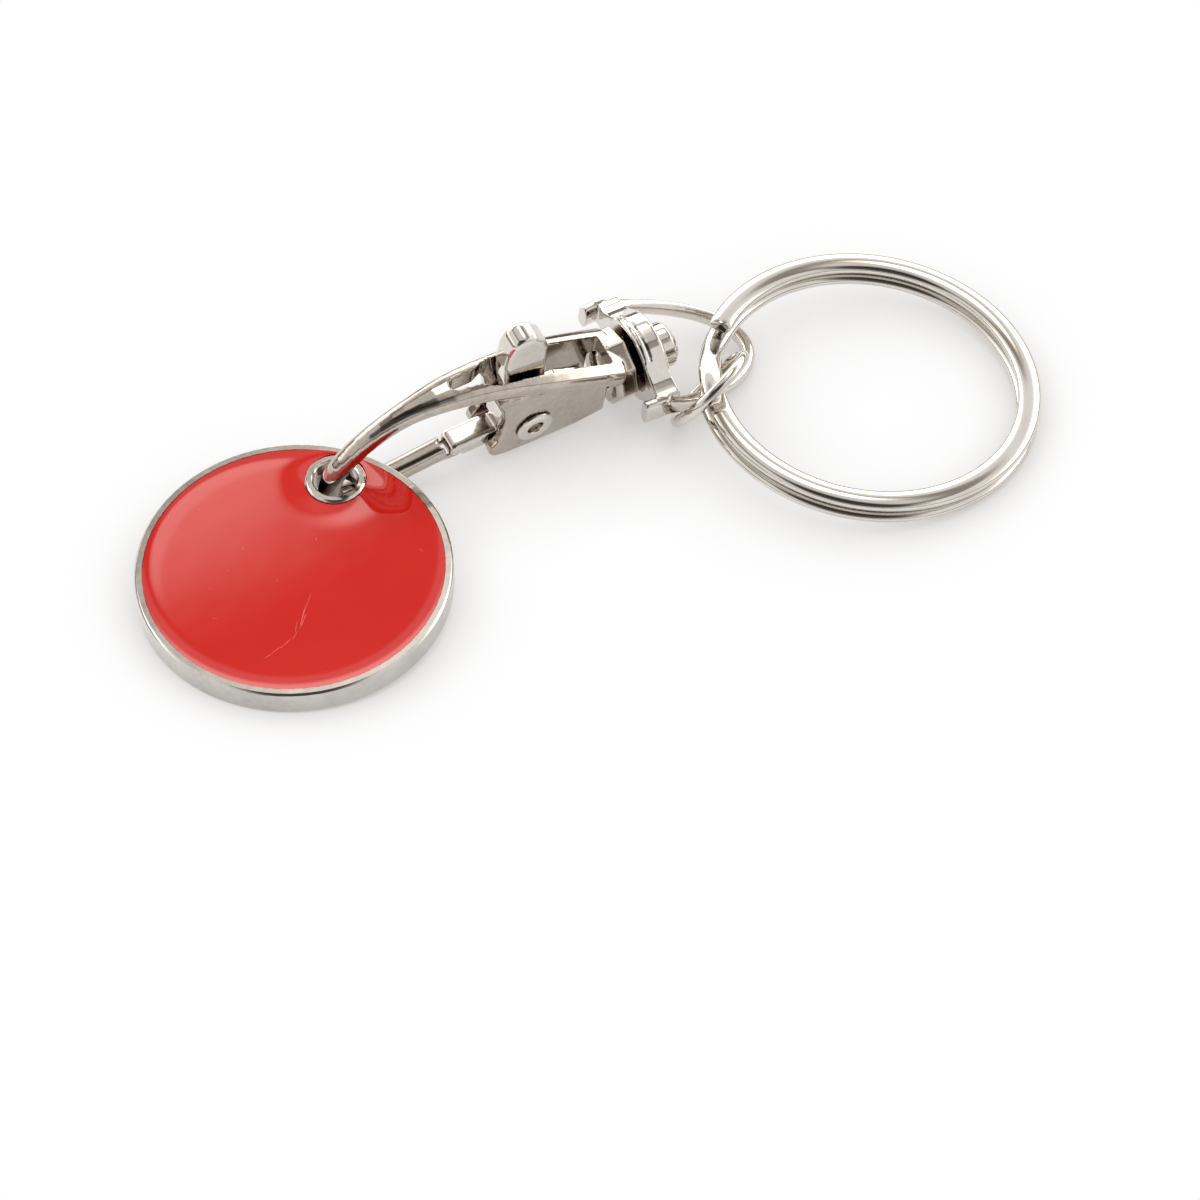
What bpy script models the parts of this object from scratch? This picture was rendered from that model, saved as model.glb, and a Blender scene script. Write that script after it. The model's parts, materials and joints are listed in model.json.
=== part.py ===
"""Coin holder keyring: an enamelled trolley coin on a swivel trigger hook, with its two rings.

Metres, +Z up. The keyring lies on Z = 0, with the origin under the middle of its bounding box.
+X runs along the swivel axis from the coin toward the split ring. Each moving piece hangs from
an empty that sits on its joint's axis.
"""

import math

import bmesh
import bpy
from mathutils import Matrix, Vector

# Trolley coin
COIN_DIAMETER = 0.02325
COIN_THICKNESS = 0.0021
COIN_EDGE_CHAMFER = 0.00015
COIN_RIM_WIDTH = 0.00055
COIN_POCKET_DEPTH = 0.0006
ENAMEL_THICKNESS = 0.00025
COAT_SAG = 0.0001
COAT_MENISCUS_WIDTH = 0.0007
MENISCUS_SHARE = 0.75
LAYER_GAP = 0.00003
HOLE_FROM_RIM = 0.002925
HOLE_PLAY = 0.0008
EYELET_WIDTH = 0.0006
EYELET_RISE = 0.00015
HOLE_LIP = 0.00012

# Trolley sign stamped on the plain face
CART_WIDTH = 0.0090
CART_HEIGHT = 0.0100
CART_STROKE = 0.00042
CART_DEPTH = 0.00018
CART_WHEEL_RADIUS = 0.00078
CART_HUB_RADIUS = 0.00030
CART_FROM_CENTRE = 0.0010

# Hook: claw, cheeks and flange
HOOK_WIRE = 0.0017
CLAW_REACH = 0.0259
CLAW_RISE = 0.0058
CLAW_DROP = 0.00342
BEND_RADIUS = 0.0012
ARM_ROOT_WIDTH = 0.0048
ARM_ROOT_HEIGHT = 0.0022
SLOT_END_SHARE = 0.6486
CHEEK_THICKNESS = 0.0008
CHEEK_BOTTOM = 0.0029
FLANGE_RADIUS = 0.0029
FLANGE_THICKNESS = 0.0019
FLANGE_CHAMFER = 0.0003
FLANGE_SIDES = 8
NECK_RADIUS = 0.0016
NECK_LENGTH = 0.0002
TAIL_POCKET_DEPTH = 0.0008

# Trigger lever, its pin and its spring
PIN_SHARE = 0.3861
PIN_DROP = 0.00025
PIN_RADIUS = 0.0007
PIN_HEAD_RADIUS = 0.0015
PIN_HEAD_THICKNESS = 0.0004
PIN_BORE_RADIUS = 0.00065
PIN_BORE_DEPTH = 0.0008
PIN_LIP = 0.0001
LEVER_WIDTH = 0.0022
LEVER_DRUM_RADIUS = 0.0025
LEVER_EDGE = 0.00018
GATE_SHARE = 0.2394
GATE_WIDTH = 0.0020
GATE_HEIGHT = 0.0017
GATE_END_DROP = 0.0021
GATE_GAP = 0.0002
LEDGE_LENGTH = 0.0009
LEDGE_THICKNESS = 0.0005
LEDGE_PLAY = 0.00015
LEDGE_WIDTH_SHARE = 0.88
GATE_KNEE_SHARE = 0.45
TAB_HEIGHT = 0.0108
TAB_LENGTH = 0.0036
TAB_WIDTH = 0.0019
TAB_LEAN = 0.0012
HEEL_LENGTH = 0.0047
HEEL_RISE = 0.0031
HEEL_END_RISE = 0.0020
HEEL_THICKNESS = 0.0009
SIDE_PLAY = 0.00015
PIN_PLAY = 0.00008
SPRING_WIRE = 0.00028
SPRING_RADIUS = 0.00145
SPRING_PITCH = 0.0007
SPRING_TURNS = 2
SPRING_PLAY = 0.00022
SPRING_WALL = 0.0003
SPRING_LEG_SHARE = 0.4
CHANNEL_SHARE = 0.9

# Swivel eye and its rivet
COLLAR_RADIUS = 0.00325
COLLAR_FRONT = 0.00093
COLLAR_THICKNESS = 0.00145
PLATE_THICKNESS = 0.0006
PLATE_STEP = 0.00012
COLLAR_CHAMFER = 0.0002
SWIVEL_PLAY = 0.0001
RIVET_SHANK_RADIUS = 0.0010
RIVET_HEAD_RADIUS = 0.00175
RIVET_HEAD_THICKNESS = 0.0016
RIVET_TAIL_RADIUS = 0.0014
RIVET_TAIL_THICKNESS = 0.0005
EAR_HEIGHT = 0.0022
LUG_HEIGHT = 0.0020
BAIL_CENTRE = -0.0003
BAIL_LENGTH = 0.00935
BAIL_HALF_WIDTH = 0.00485
BAIL_DROP = 0.00323
BAIL_SKEW = -0.000525
BAIL_DROP_POWER = 0.85
BAIL_THICKNESS = 0.0010
BAIL_HEIGHT = 0.0012
STRAP_SQUARE = 0.35

# Jump ring and split ring
JUMP_RING_RADIUS = 0.00345
JUMP_RING_WIRE = 0.0010
JUMP_RING_GAP = 0.0003
SPLIT_RING_OUTER_RADIUS = 0.0129
SPLIT_WIRE_WIDTH = 0.0019
SPLIT_WIRE_HEIGHT = 0.00108
SPLIT_TURN_GAP = 0.00012
SPLIT_SQUARE = 0.1

# How the keyring lies
HOOK_ROLL = math.radians(14.0)
EYE_ROLL = math.radians(11.0)
COIN_SWING = math.radians(41.0)
COIN_TILT = math.radians(5.5)
COIN_SHIFT_X = 0.0004
COIN_SHIFT_Y = 0.00005
STRAP_LINK_TURN = math.radians(-75.0)
JUMP_RING_X = 0.003064
JUMP_RING_Y = -0.005204
JUMP_RING_Z = -0.000575
JUMP_RING_HEADING = math.radians(29.1)
JUMP_RING_LEAN = math.radians(-54.5)
JUMP_GAP_TURN = math.radians(100.0)
SPLIT_LINK_X = 0.002765
SPLIT_LINK_Y = -0.005996
SPLIT_LINK_Z = -0.000294
SPLIT_LINK_TURN = math.radians(-157.0)
SPLIT_RING_TILT = math.radians(7.0)
SPLIT_RING_TILT_HEADING = math.radians(-42.4)
SPLIT_END_ANGLE = math.radians(173.0)
SPLIT_STEP_ANGLE = math.radians(26.0)

# Facets
COIN_STEPS = 72
HOLE_STEPS = 24
SMALL_STEPS = 24
COLLAR_STEPS = 36
RING_STEPS = 48
SPLIT_STEPS = 72
TUBE_SIDES = 10
ARM_SIDES = 16
CURL_POINTS = 10
EAR_TURN = 102
BAIL_TURN_STEP = 6
EAR_FROM = math.radians(78.0)
EAR_FULL = math.radians(93.0)
SMOOTH_ANGLE = math.radians(38.0)
BAIL_NUDGE = math.radians(1.0)
LUG_FROM = math.radians(44.0)
CUT_OVERRUN = 0.0005

# Claw line from the flange, over the arch and down to the coin: shares of CLAW_REACH and CLAW_RISE
ARCH_SHARES = (
    (0.110, 0.26), (0.215, 0.47), (0.350, 0.72), (0.500, 0.92), (0.650, 1.00),
    (0.780, 0.91), (0.885, 0.66), (0.960, 0.31), (0.994, 0.02),
)
# Shares of the root's extra width and height left at each of those points, then how square it is
ARCH_SECTION_SHARES = (
    (1.00, 0.60), (1.00, 0.55), (0.90, 0.50), (0.62, 0.40), (0.36, 0.25),
    (0.08, 0.10), (0.00, 0.00), (0.00, 0.00), (0.00, 0.00),
)
# Cheek edge from the flange to the lobe and up to the arm: shares of the pin distance, then of the drop
CHEEK_EDGE_SHARES = (
    (0.36, 0.76), (0.62, 0.93), (0.95, 1.00), (1.22, 1.00), (1.31, 0.93), (1.345, 0.78),
    (1.335, 0.56), (1.285, 0.30), (1.260, 0.00),
)
# The same edge above the axis: shares of the pin distance, then of CLAW_RISE
CHEEK_TOP_SHARES = ((1.255, 0.30), (1.285, 0.55), (1.350, 0.80), (0.95, 0.72), (0.60, 0.50), (0.36, 0.28))
# Slot end: shares of its half width, along the arm from the end and then across
SLOT_END_SHARES = (
    (3.10, 1.00), (2.50, 0.84), (1.90, 0.52), (0.35, 0.38), (0.09, 0.27), (0.00, 0.11),
)
# Ear's edge from the collar to its end: shares of the way, then of the collar's extra height
EAR_EDGE_SHARES = ((0.00, 1.00), (0.25, 0.52), (0.48, 0.20), (0.72, 0.04), (1.00, 0.00))
# Thumb tab outline: shares of TAB_LENGTH from its middle, then of TAB_HEIGHT above the pin
TAB_SHARES = (
    (-0.30, 0.05), (0.30, 0.05), (0.42, 0.30), (0.47, 0.55), (0.50, 0.80), (0.42, 0.90), (0.22, 0.975),
    (-0.04, 1.00), (-0.28, 0.965), (-0.44, 0.86), (-0.52, 0.70), (-0.52, 0.52), (-0.46, 0.30),
)
# Trolley sign: stroke ends in shares of its width and height, from its lower left corner
CART_FRAME_SHARES = (
    ((0.00, 1.00), (0.16, 1.00)), ((0.16, 1.00), (0.16, 0.20)), ((0.08, 0.20), (0.80, 0.20)),
    ((0.16, 0.80), (1.00, 0.80)),
)
CART_BASKET_TOP_SHARE = 0.80
CART_BASKET_BOTTOM_SHARE = 0.38
CART_BASKET_LEFT_SHARE = 0.16
CART_BASKET_TOP_RIGHT_SHARE = 1.00
CART_BASKET_BOTTOM_RIGHT_SHARE = 0.80
CART_ROWS = 3
CART_COLUMNS = 4
CART_WHEEL_SHARES = (0.08, 0.76)

# Values that follow from the sizes above
COIN_RADIUS = COIN_DIAMETER / 2
HOLE_FROM_CENTRE = COIN_RADIUS - HOLE_FROM_RIM
POCKET_RADIUS = COIN_RADIUS - COIN_RIM_WIDTH
POCKET_FLOOR = COIN_THICKNESS / 2 - COIN_POCKET_DEPTH
HOLE_RADIUS = HOOK_WIRE / 2 + HOLE_PLAY
EYELET_RADIUS = HOLE_RADIUS + EYELET_WIDTH
PIN_FROM_COLLAR = CLAW_REACH * PIN_SHARE
GATE_LENGTH = CLAW_REACH * GATE_SHARE
CHEEK_INNER = LEVER_WIDTH / 2 + SIDE_PLAY
CHEEK_OUTER = CHEEK_INNER + CHEEK_THICKNESS
COLLAR_BACK = COLLAR_FRONT - COLLAR_THICKNESS - PLATE_THICKNESS
FLANGE_RIGHT = COLLAR_BACK - SWIVEL_PLAY - NECK_LENGTH
FLANGE_LEFT = FLANGE_RIGHT - FLANGE_THICKNESS
LEDGE_DROP = HOOK_WIRE / 2 - LEDGE_THICKNESS / 4
SPLIT_RADIUS = SPLIT_RING_OUTER_RADIUS - SPLIT_WIRE_WIDTH / 2
SPLIT_LEVEL = (SPLIT_WIRE_HEIGHT + SPLIT_TURN_GAP) / 2
FLOOR = -CLAW_DROP - HOOK_WIRE / 2


def clear_scene():
    """Remove every object, so that the file always starts from nothing."""
    for item in list(bpy.data.objects):
        bpy.data.objects.remove(item, do_unlink=True)


def make_material(name, colour, roughness, metallic, transmission=0.0):
    """Return a Principled material."""
    material = bpy.data.materials.new(name)
    material.use_nodes = True
    shader = material.node_tree.nodes["Principled BSDF"]
    shader.inputs["Base Color"].default_value = (*colour, 1.0)
    shader.inputs["Roughness"].default_value = roughness
    shader.inputs["Metallic"].default_value = metallic
    shader.inputs["Transmission Weight"].default_value = transmission
    return material


def make_frame(name, parent, matrix):
    """Return an empty placed by a matrix in its parent's frame."""
    frame = bpy.data.objects.new(name, None)
    bpy.context.collection.objects.link(frame)
    frame.parent = parent
    frame.matrix_local = matrix
    return frame


def make_object(name, mesh_data, frame, material=None):
    """Link a bmesh as a named object in a frame; without a material it is a cutter."""
    bmesh.ops.recalc_face_normals(mesh_data, faces=mesh_data.faces)
    mesh = bpy.data.meshes.new(name)
    mesh_data.to_mesh(mesh)
    mesh_data.free()
    piece = bpy.data.objects.new(name, mesh)
    bpy.context.collection.objects.link(piece)
    piece.parent = frame
    if material is None:
        piece.hide_render = True
        piece.display_type = "WIRE"
    else:
        mesh.materials.append(material)
        mesh.shade_smooth()
        mesh.set_sharp_from_angle(angle=SMOOTH_ANGLE)
    return piece


def combine(piece, other, operation):
    """Join or cut a piece with another object through an exact Boolean."""
    modifier = piece.modifiers.new(other.name, "BOOLEAN")
    modifier.operation = operation
    modifier.solver = "EXACT"
    modifier.use_self = operation == "DIFFERENCE" and other.name == "cut_cart"
    modifier.object = other


def revolve(profile, steps, axis="Z"):
    """Turn a (radius, height) profile about an axis: a solid when it starts and ends on the axis."""
    shape = bmesh.new()
    solid = profile[0][0] == 0
    turns = [math.tau * step / steps for step in range(steps)]
    rings = []
    for radius, height in profile[1:-1] if solid else profile:
        rings.append([shape.verts.new((radius * math.cos(t), radius * math.sin(t), height)) for t in turns])
    pairs = list(zip(rings, rings[1:])) + ([] if solid else [(rings[-1], rings[0])])
    for ring, following in pairs:
        for step in range(steps):
            after = (step + 1) % steps
            shape.faces.new((ring[step], ring[after], following[after], following[step]))
    if solid:
        shape.faces.new(rings[0][::-1])
        shape.faces.new(rings[-1])
    turn = {
        "Z": Matrix(),
        "X": Matrix.Rotation(math.pi / 2, 4, "Y"),
        "Y": Matrix.Rotation(-math.pi / 2, 4, "X"),
    }
    shape.transform(turn[axis])
    return shape


def prism(outline, half_width):
    """Raise an (x, z) outline by half_width to both sides along Y."""
    shape = bmesh.new()
    near = [shape.verts.new((x, -half_width, z)) for x, z in outline]
    far = [shape.verts.new((x, half_width, z)) for x, z in outline]
    shape.faces.new(near)
    shape.faces.new(far[::-1])
    for index in range(len(outline)):
        after = (index + 1) % len(outline)
        shape.faces.new((near[index], far[index], far[after], near[after]))
    return shape


def raise_plan(outline, low, high):
    """Raise an (x, y) outline from the low to the high Z."""
    shape = bmesh.new()
    under = [shape.verts.new((x, y, low)) for x, y in outline]
    over = [shape.verts.new((x, y, high)) for x, y in outline]
    shape.faces.new(under[::-1])
    shape.faces.new(over)
    for index in range(len(outline)):
        after = (index + 1) % len(outline)
        shape.faces.new((under[index], under[after], over[after], over[index]))
    return shape


def smooth_line(points, per_span):
    """Return a smooth curve through points of any dimension, per_span points to each stretch."""
    ends = [2 * points[0] - points[1], *points, 2 * points[-1] - points[-2]]
    line = []
    for a, b, c, d in zip(ends, ends[1:], ends[2:], ends[3:]):
        for step in range(per_span):
            t = step / per_span
            line.append(((2 * b) + (c - a) * t + (2 * a - 5 * b + 4 * c - d) * t ** 2
                         + (3 * b - a - 3 * c + d) * t ** 3) / 2)
    line.append(points[-1])
    return line


def sweep(centres, laterals, widths, heights, squares, sides, closed=False):
    """Sweep a rounded section along centres; widths run along the laterals, heights across them."""
    shape = bmesh.new()
    rings = []
    last = len(centres) - 1
    for index, centre in enumerate(centres):
        before = centres[index - 1] if index or closed else centre
        after = centres[(index + 1) % len(centres)] if index < last or closed else centre
        lateral = laterals[index].normalized()
        upward = (after - before).cross(lateral).normalized()
        power = 2 / (2 + 2 * squares[index])
        ring = []
        for side in range(sides):
            turn = math.tau * (side + 0.5) / sides
            across, over = math.cos(turn), math.sin(turn)
            across = math.copysign(abs(across) ** power, across) * widths[index] / 2
            over = math.copysign(abs(over) ** power, over) * heights[index] / 2
            ring.append(shape.verts.new(centre + lateral * across + upward * over))
        rings.append(ring)
    pairs = list(zip(rings, rings[1:])) + ([(rings[-1], rings[0])] if closed else [])
    for ring, following in pairs:
        for side in range(sides):
            after = (side + 1) % sides
            shape.faces.new((ring[side], ring[after], following[after], following[side]))
    if not closed:
        shape.faces.new(rings[0])
        shape.faces.new(rings[-1][::-1])
    return shape


def add_bevel(piece, width, segments=2):
    """Round a piece's sharp edges."""
    bevel = piece.modifiers.new("edges", "BEVEL")
    bevel.width = width
    bevel.segments = segments
    bevel.limit_method = "ANGLE"
    bevel.angle_limit = math.radians(35.0)
    return bevel


def stroke_outline(start, end):
    """Return the corners of one stamped stroke with square ends."""
    along = (end - start).normalized() * CART_STROKE / 2
    side = Vector((-along.y, along.x))
    return [start - along - side, end + along - side, end + along + side, start - along + side]


def cart_strokes():
    """Return the trolley sign's strokes as pairs of points about the sign's middle."""
    def place(share_x, share_y):
        return Vector(((share_x - 1 / 2) * CART_WIDTH, (share_y - 1 / 2) * CART_HEIGHT))

    strokes = [(place(*start), place(*end)) for start, end in CART_FRAME_SHARES]
    basket_span = CART_BASKET_TOP_SHARE - CART_BASKET_BOTTOM_SHARE
    slant = CART_BASKET_TOP_RIGHT_SHARE - CART_BASKET_BOTTOM_RIGHT_SHARE
    for row in range(1, CART_ROWS + 1):
        height = CART_BASKET_TOP_SHARE - basket_span * row / CART_ROWS
        right = CART_BASKET_TOP_RIGHT_SHARE - slant * row / CART_ROWS
        strokes.append((place(CART_BASKET_LEFT_SHARE, height), place(right, height)))
    top_span = CART_BASKET_TOP_RIGHT_SHARE - CART_BASKET_LEFT_SHARE
    foot_span = CART_BASKET_BOTTOM_RIGHT_SHARE - CART_BASKET_LEFT_SHARE
    for column in range(1, CART_COLUMNS + 1):
        top = CART_BASKET_LEFT_SHARE + top_span * column / CART_COLUMNS
        foot = CART_BASKET_LEFT_SHARE + foot_span * column / CART_COLUMNS
        strokes.append((place(top, CART_BASKET_TOP_SHARE), place(foot, CART_BASKET_BOTTOM_SHARE)))
    return strokes


def make_cart_cutter(frame):
    """Return the cutter of the stamped trolley sign, for the coin's lower face."""
    shape = bmesh.new()
    floor = -COIN_THICKNESS / 2
    for start, end in cart_strokes():
        corners = stroke_outline(start, end)
        low = [shape.verts.new((x, y, floor - CUT_OVERRUN)) for x, y in corners]
        high = [shape.verts.new((x, y, floor + CART_DEPTH)) for x, y in corners]
        shape.faces.new(low[::-1])
        shape.faces.new(high)
        for index in range(4):
            after = (index + 1) % 4
            shape.faces.new((low[index], low[after], high[after], high[index]))
    for share in CART_WHEEL_SHARES:
        middle = (share - 1 / 2) * CART_WIDTH
        below = -CART_HEIGHT / 2 + CART_WHEEL_RADIUS
        wheel = revolve([(CART_HUB_RADIUS, floor - CUT_OVERRUN), (CART_WHEEL_RADIUS, floor - CUT_OVERRUN),
                         (CART_WHEEL_RADIUS, floor + CART_DEPTH), (CART_HUB_RADIUS, floor + CART_DEPTH)],
                        SMALL_STEPS)
        wheel.transform(Matrix.Translation((middle, below, 0)))
        part = bpy.data.meshes.new("wheel")
        wheel.to_mesh(part)
        wheel.free()
        shape.from_mesh(part)
        bpy.data.meshes.remove(part)
    # The sign reads upright with the hole at its top, seen from below
    shape.transform(Matrix.Scale(-1, 4, (1, 0, 0)))
    shape.transform(Matrix.Rotation(-math.pi / 2, 4, "Z"))
    shape.transform(Matrix.Translation((-CART_FROM_CENTRE - HOLE_FROM_CENTRE, 0, 0)))
    return make_object("cut_cart", shape, frame)


def hole_profile(radius, low, high):
    """Return a cutter profile with a flared lip at both faces."""
    wide = radius + HOLE_LIP
    return [(0, low - CUT_OVERRUN), (wide, low - CUT_OVERRUN), (wide, low), (radius, low + HOLE_LIP),
            (radius, high - HOLE_LIP), (wide, high), (wide, high + CUT_OVERRUN), (0, high + CUT_OVERRUN)]


def move(shape, x=0.0, y=0.0, z=0.0):
    """Shift a bmesh and return it."""
    shape.transform(Matrix.Translation((x, y, z)))
    return shape


def build_coin(frame, materials):
    """Build the coin, its enamel and its clear coat; the frame sits in the hole's middle."""
    half = COIN_THICKNESS / 2
    chamfer = COIN_EDGE_CHAMFER
    body = make_object("coin_body", move(revolve(
        [(0, -half), (COIN_RADIUS - chamfer, -half), (COIN_RADIUS, chamfer - half),
         (COIN_RADIUS, half - chamfer), (COIN_RADIUS - chamfer, half), (POCKET_RADIUS, half),
         (POCKET_RADIUS, POCKET_FLOOR), (0, POCKET_FLOOR)], COIN_STEPS), -HOLE_FROM_CENTRE),
        frame, materials["nickel"])
    top = half + EYELET_RISE
    eyelet = make_object("join_eyelet", revolve(
        [(0, 0), (EYELET_RADIUS, 0), (EYELET_RADIUS, top - chamfer), (EYELET_RADIUS - chamfer, top),
         (0, top)], HOLE_STEPS), frame)
    combine(body, eyelet, "UNION")
    hole = make_object("cut_coin_hole", revolve(hole_profile(HOLE_RADIUS, -half, top), HOLE_STEPS), frame)
    combine(body, hole, "DIFFERENCE")
    combine(body, make_cart_cutter(frame), "DIFFERENCE")

    eyelet_room = make_object("cut_eyelet_room", revolve(
        [(0, 0), (EYELET_RADIUS + LAYER_GAP, 0), (EYELET_RADIUS + LAYER_GAP, top), (0, top)],
        HOLE_STEPS), frame)
    edge = POCKET_RADIUS - LAYER_GAP
    low = POCKET_FLOOR + LAYER_GAP
    enamel_top = low + ENAMEL_THICKNESS
    enamel = make_object("coin_enamel", move(revolve(
        [(0, low), (edge, low), (edge, enamel_top), (0, enamel_top)], COIN_STEPS), -HOLE_FROM_CENTRE),
        frame, materials["enamel"])
    combine(enamel, eyelet_room, "DIFFERENCE")
    coat_low = enamel_top + LAYER_GAP
    coat_rim = half - LAYER_GAP
    inner = edge - COAT_MENISCUS_WIDTH
    coat = make_object("coin_clear_coat", move(revolve(
        [(0, coat_low), (edge, coat_low), (edge, coat_rim),
         ((edge + inner) / 2, coat_rim - COAT_SAG * MENISCUS_SHARE), (inner, coat_rim - COAT_SAG),
         (0, coat_rim - COAT_SAG)], COIN_STEPS), -HOLE_FROM_CENTRE), frame, materials["clear"])
    combine(coat, eyelet_room, "DIFFERENCE")


def claw_line():
    """Return centres, widths, heights and squareness along the claw, in the hook's plane."""
    wire = HOOK_WIRE
    arch = [Vector((-share * CLAW_REACH, 0, rise * CLAW_RISE)) for share, rise in ARCH_SHARES]
    keys = []
    for point, (extra, square) in zip(arch, ARCH_SECTION_SHARES):
        width = wire + extra * (ARM_ROOT_WIDTH - wire)
        height = wire + extra * (ARM_ROOT_HEIGHT - wire)
        keys.append((point, width, height, square))
    bend = Vector((-CLAW_REACH + BEND_RADIUS, 0, -CLAW_DROP + BEND_RADIUS))
    for turn in (180, 210, 240, 270):
        offset = Vector((math.cos(math.radians(turn)), 0, math.sin(math.radians(turn)))) * BEND_RADIUS
        keys.append((bend + offset, wire, wire, 0.0))
    tip = Vector((-PIN_FROM_COLLAR - GATE_LENGTH - GATE_GAP, 0, -GATE_END_DROP))
    bend_end = keys[-1][0]
    keys.append((bend_end.lerp(tip, 1 / 2) + Vector((0, 0, -wire / 12)), wire, wire, 0.1))
    keys.append((tip, wire, wire, 0.25))
    points = smooth_line([key[0] for key in keys], 3)
    numbers = smooth_line([Vector(key[1:]) for key in keys], 3)
    return points, [n.x for n in numbers], [n.y for n in numbers], [max(n.z, 0.0) for n in numbers]


def slot_outline():
    """Return the slot's (x, y) outline; its end toward the claw is rounded."""
    end = -CLAW_REACH * SLOT_END_SHARE
    near = [(end + x * CHEEK_INNER, y * CHEEK_INNER) for x, y in SLOT_END_SHARES]
    far = [(x, -y) for x, y in near[::-1]]
    return [(FLANGE_LEFT, CHEEK_INNER), *near, *far, (FLANGE_LEFT, -CHEEK_INNER)]


def cheek_outline():
    """Return a cheek's (x, z) outline in the hook's plane."""
    lower = [(-x * PIN_FROM_COLLAR, -z * CHEEK_BOTTOM) for x, z in CHEEK_EDGE_SHARES]
    upper = [(-x * PIN_FROM_COLLAR, z * CLAW_RISE) for x, z in CHEEK_TOP_SHARES]
    return [(FLANGE_LEFT - CUT_OVERRUN, lower[0][1]), *lower[1:], *upper[:-1],
            (FLANGE_LEFT - CUT_OVERRUN, upper[-1][1])]


def build_hook(frame, materials):
    """Build the hook body: claw, slotted arm, two cheeks, flange and neck."""
    points, widths, heights, squares = claw_line()
    sideways = [Vector((0, 1, 0))] * len(points)
    body = make_object("hook_body", sweep(points, sideways, widths, heights, squares, ARM_SIDES),
                       frame, materials["nickel"])
    cut = FLANGE_CHAMFER
    flange = make_object("join_flange", revolve(
        [(0, FLANGE_LEFT), (FLANGE_RADIUS - cut, FLANGE_LEFT), (FLANGE_RADIUS, FLANGE_LEFT + cut),
         (FLANGE_RADIUS, FLANGE_RIGHT - cut), (FLANGE_RADIUS - cut, FLANGE_RIGHT),
         (NECK_RADIUS, FLANGE_RIGHT), (NECK_RADIUS, FLANGE_RIGHT + NECK_LENGTH),
         (0, FLANGE_RIGHT + NECK_LENGTH)], FLANGE_SIDES, "X"), frame)
    combine(body, flange, "UNION")
    cheeks = make_object("join_cheeks", prism(cheek_outline(), CHEEK_OUTER), frame)
    add_bevel(cheeks, CHEEK_THICKNESS / 4)
    combine(body, cheeks, "UNION")

    # A ledge on the claw's tip stops the gate bar
    tip = -PIN_FROM_COLLAR - GATE_LENGTH - GATE_GAP
    ledge_low = -GATE_END_DROP - LEDGE_DROP
    ledge = make_object("join_ledge", prism(
        [(tip - LEDGE_LENGTH, ledge_low), (tip + GATE_GAP + LEDGE_LENGTH, ledge_low),
         (tip + GATE_GAP + LEDGE_LENGTH, ledge_low + LEDGE_THICKNESS),
         (tip - LEDGE_LENGTH, ledge_low + LEDGE_THICKNESS)],
        HOOK_WIRE * LEDGE_WIDTH_SHARE / 2), frame)
    combine(body, ledge, "UNION")

    slot = make_object("cut_slot", raise_plan(slot_outline(), -CHEEK_BOTTOM - CUT_OVERRUN,
                                              CLAW_RISE + ARM_ROOT_HEIGHT), frame)
    combine(body, slot, "DIFFERENCE")
    reach = CHEEK_OUTER + CUT_OVERRUN
    pin_hole = make_object("cut_pin_hole", move(revolve(
        [(0, -reach), (PIN_RADIUS + PIN_PLAY, -reach), (PIN_RADIUS + PIN_PLAY, reach), (0, reach)],
        SMALL_STEPS, "Y"), -PIN_FROM_COLLAR, 0, -PIN_DROP), frame)
    combine(body, pin_hole, "DIFFERENCE")
    pocket_floor = FLANGE_LEFT + TAIL_POCKET_DEPTH
    pocket_radius = RIVET_TAIL_RADIUS + PIN_PLAY
    bore_radius = RIVET_SHANK_RADIUS + PIN_PLAY
    bore = make_object("cut_rivet_bore", revolve(
        [(0, FLANGE_LEFT - CUT_OVERRUN), (pocket_radius, FLANGE_LEFT - CUT_OVERRUN),
         (pocket_radius, pocket_floor), (bore_radius, pocket_floor),
         (bore_radius, FLANGE_RIGHT + NECK_LENGTH + CUT_OVERRUN),
         (0, FLANGE_RIGHT + NECK_LENGTH + CUT_OVERRUN)], SMALL_STEPS, "X"), frame)
    combine(body, bore, "DIFFERENCE")

    tail_right = pocket_floor - LAYER_GAP
    head_left = COLLAR_FRONT + SWIVEL_PLAY
    head_right = head_left + RIVET_HEAD_THICKNESS
    crown = RIVET_HEAD_THICKNESS / 4
    make_object("swivel_rivet", revolve(
        [(0, tail_right - RIVET_TAIL_THICKNESS), (RIVET_TAIL_RADIUS, tail_right - RIVET_TAIL_THICKNESS),
         (RIVET_TAIL_RADIUS, tail_right), (RIVET_SHANK_RADIUS, tail_right), (RIVET_SHANK_RADIUS, head_left),
         (RIVET_HEAD_RADIUS, head_left), (RIVET_HEAD_RADIUS, head_right - crown),
         (RIVET_HEAD_RADIUS - crown, head_right), (0, head_right)], SMALL_STEPS, "X"),
        frame, materials["rivet"])


def build_pin(frame, materials):
    """Build the lever's tubular pin, with a ring head on the near cheek; the frame is on its axis."""
    near = -CHEEK_OUTER - LAYER_GAP
    far = CHEEK_OUTER + LAYER_GAP
    head = PIN_HEAD_THICKNESS
    ring = (PIN_HEAD_RADIUS + PIN_BORE_RADIUS) / 2
    make_object("trigger_pin", revolve(
        [(0, near - head + PIN_BORE_DEPTH), (PIN_BORE_RADIUS - PIN_LIP, near - head + PIN_BORE_DEPTH),
         (PIN_BORE_RADIUS, near - head + PIN_LIP), (ring, near - head),
         (PIN_HEAD_RADIUS, near - head / 2), (PIN_HEAD_RADIUS, near), (PIN_RADIUS, near), (PIN_RADIUS, far),
         (PIN_HEAD_RADIUS, far), (PIN_HEAD_RADIUS, far + head / 2), (PIN_HEAD_RADIUS - PIN_LIP, far + head),
         (0, far + head)], SMALL_STEPS, "Y"), frame, materials["rivet"])


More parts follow.
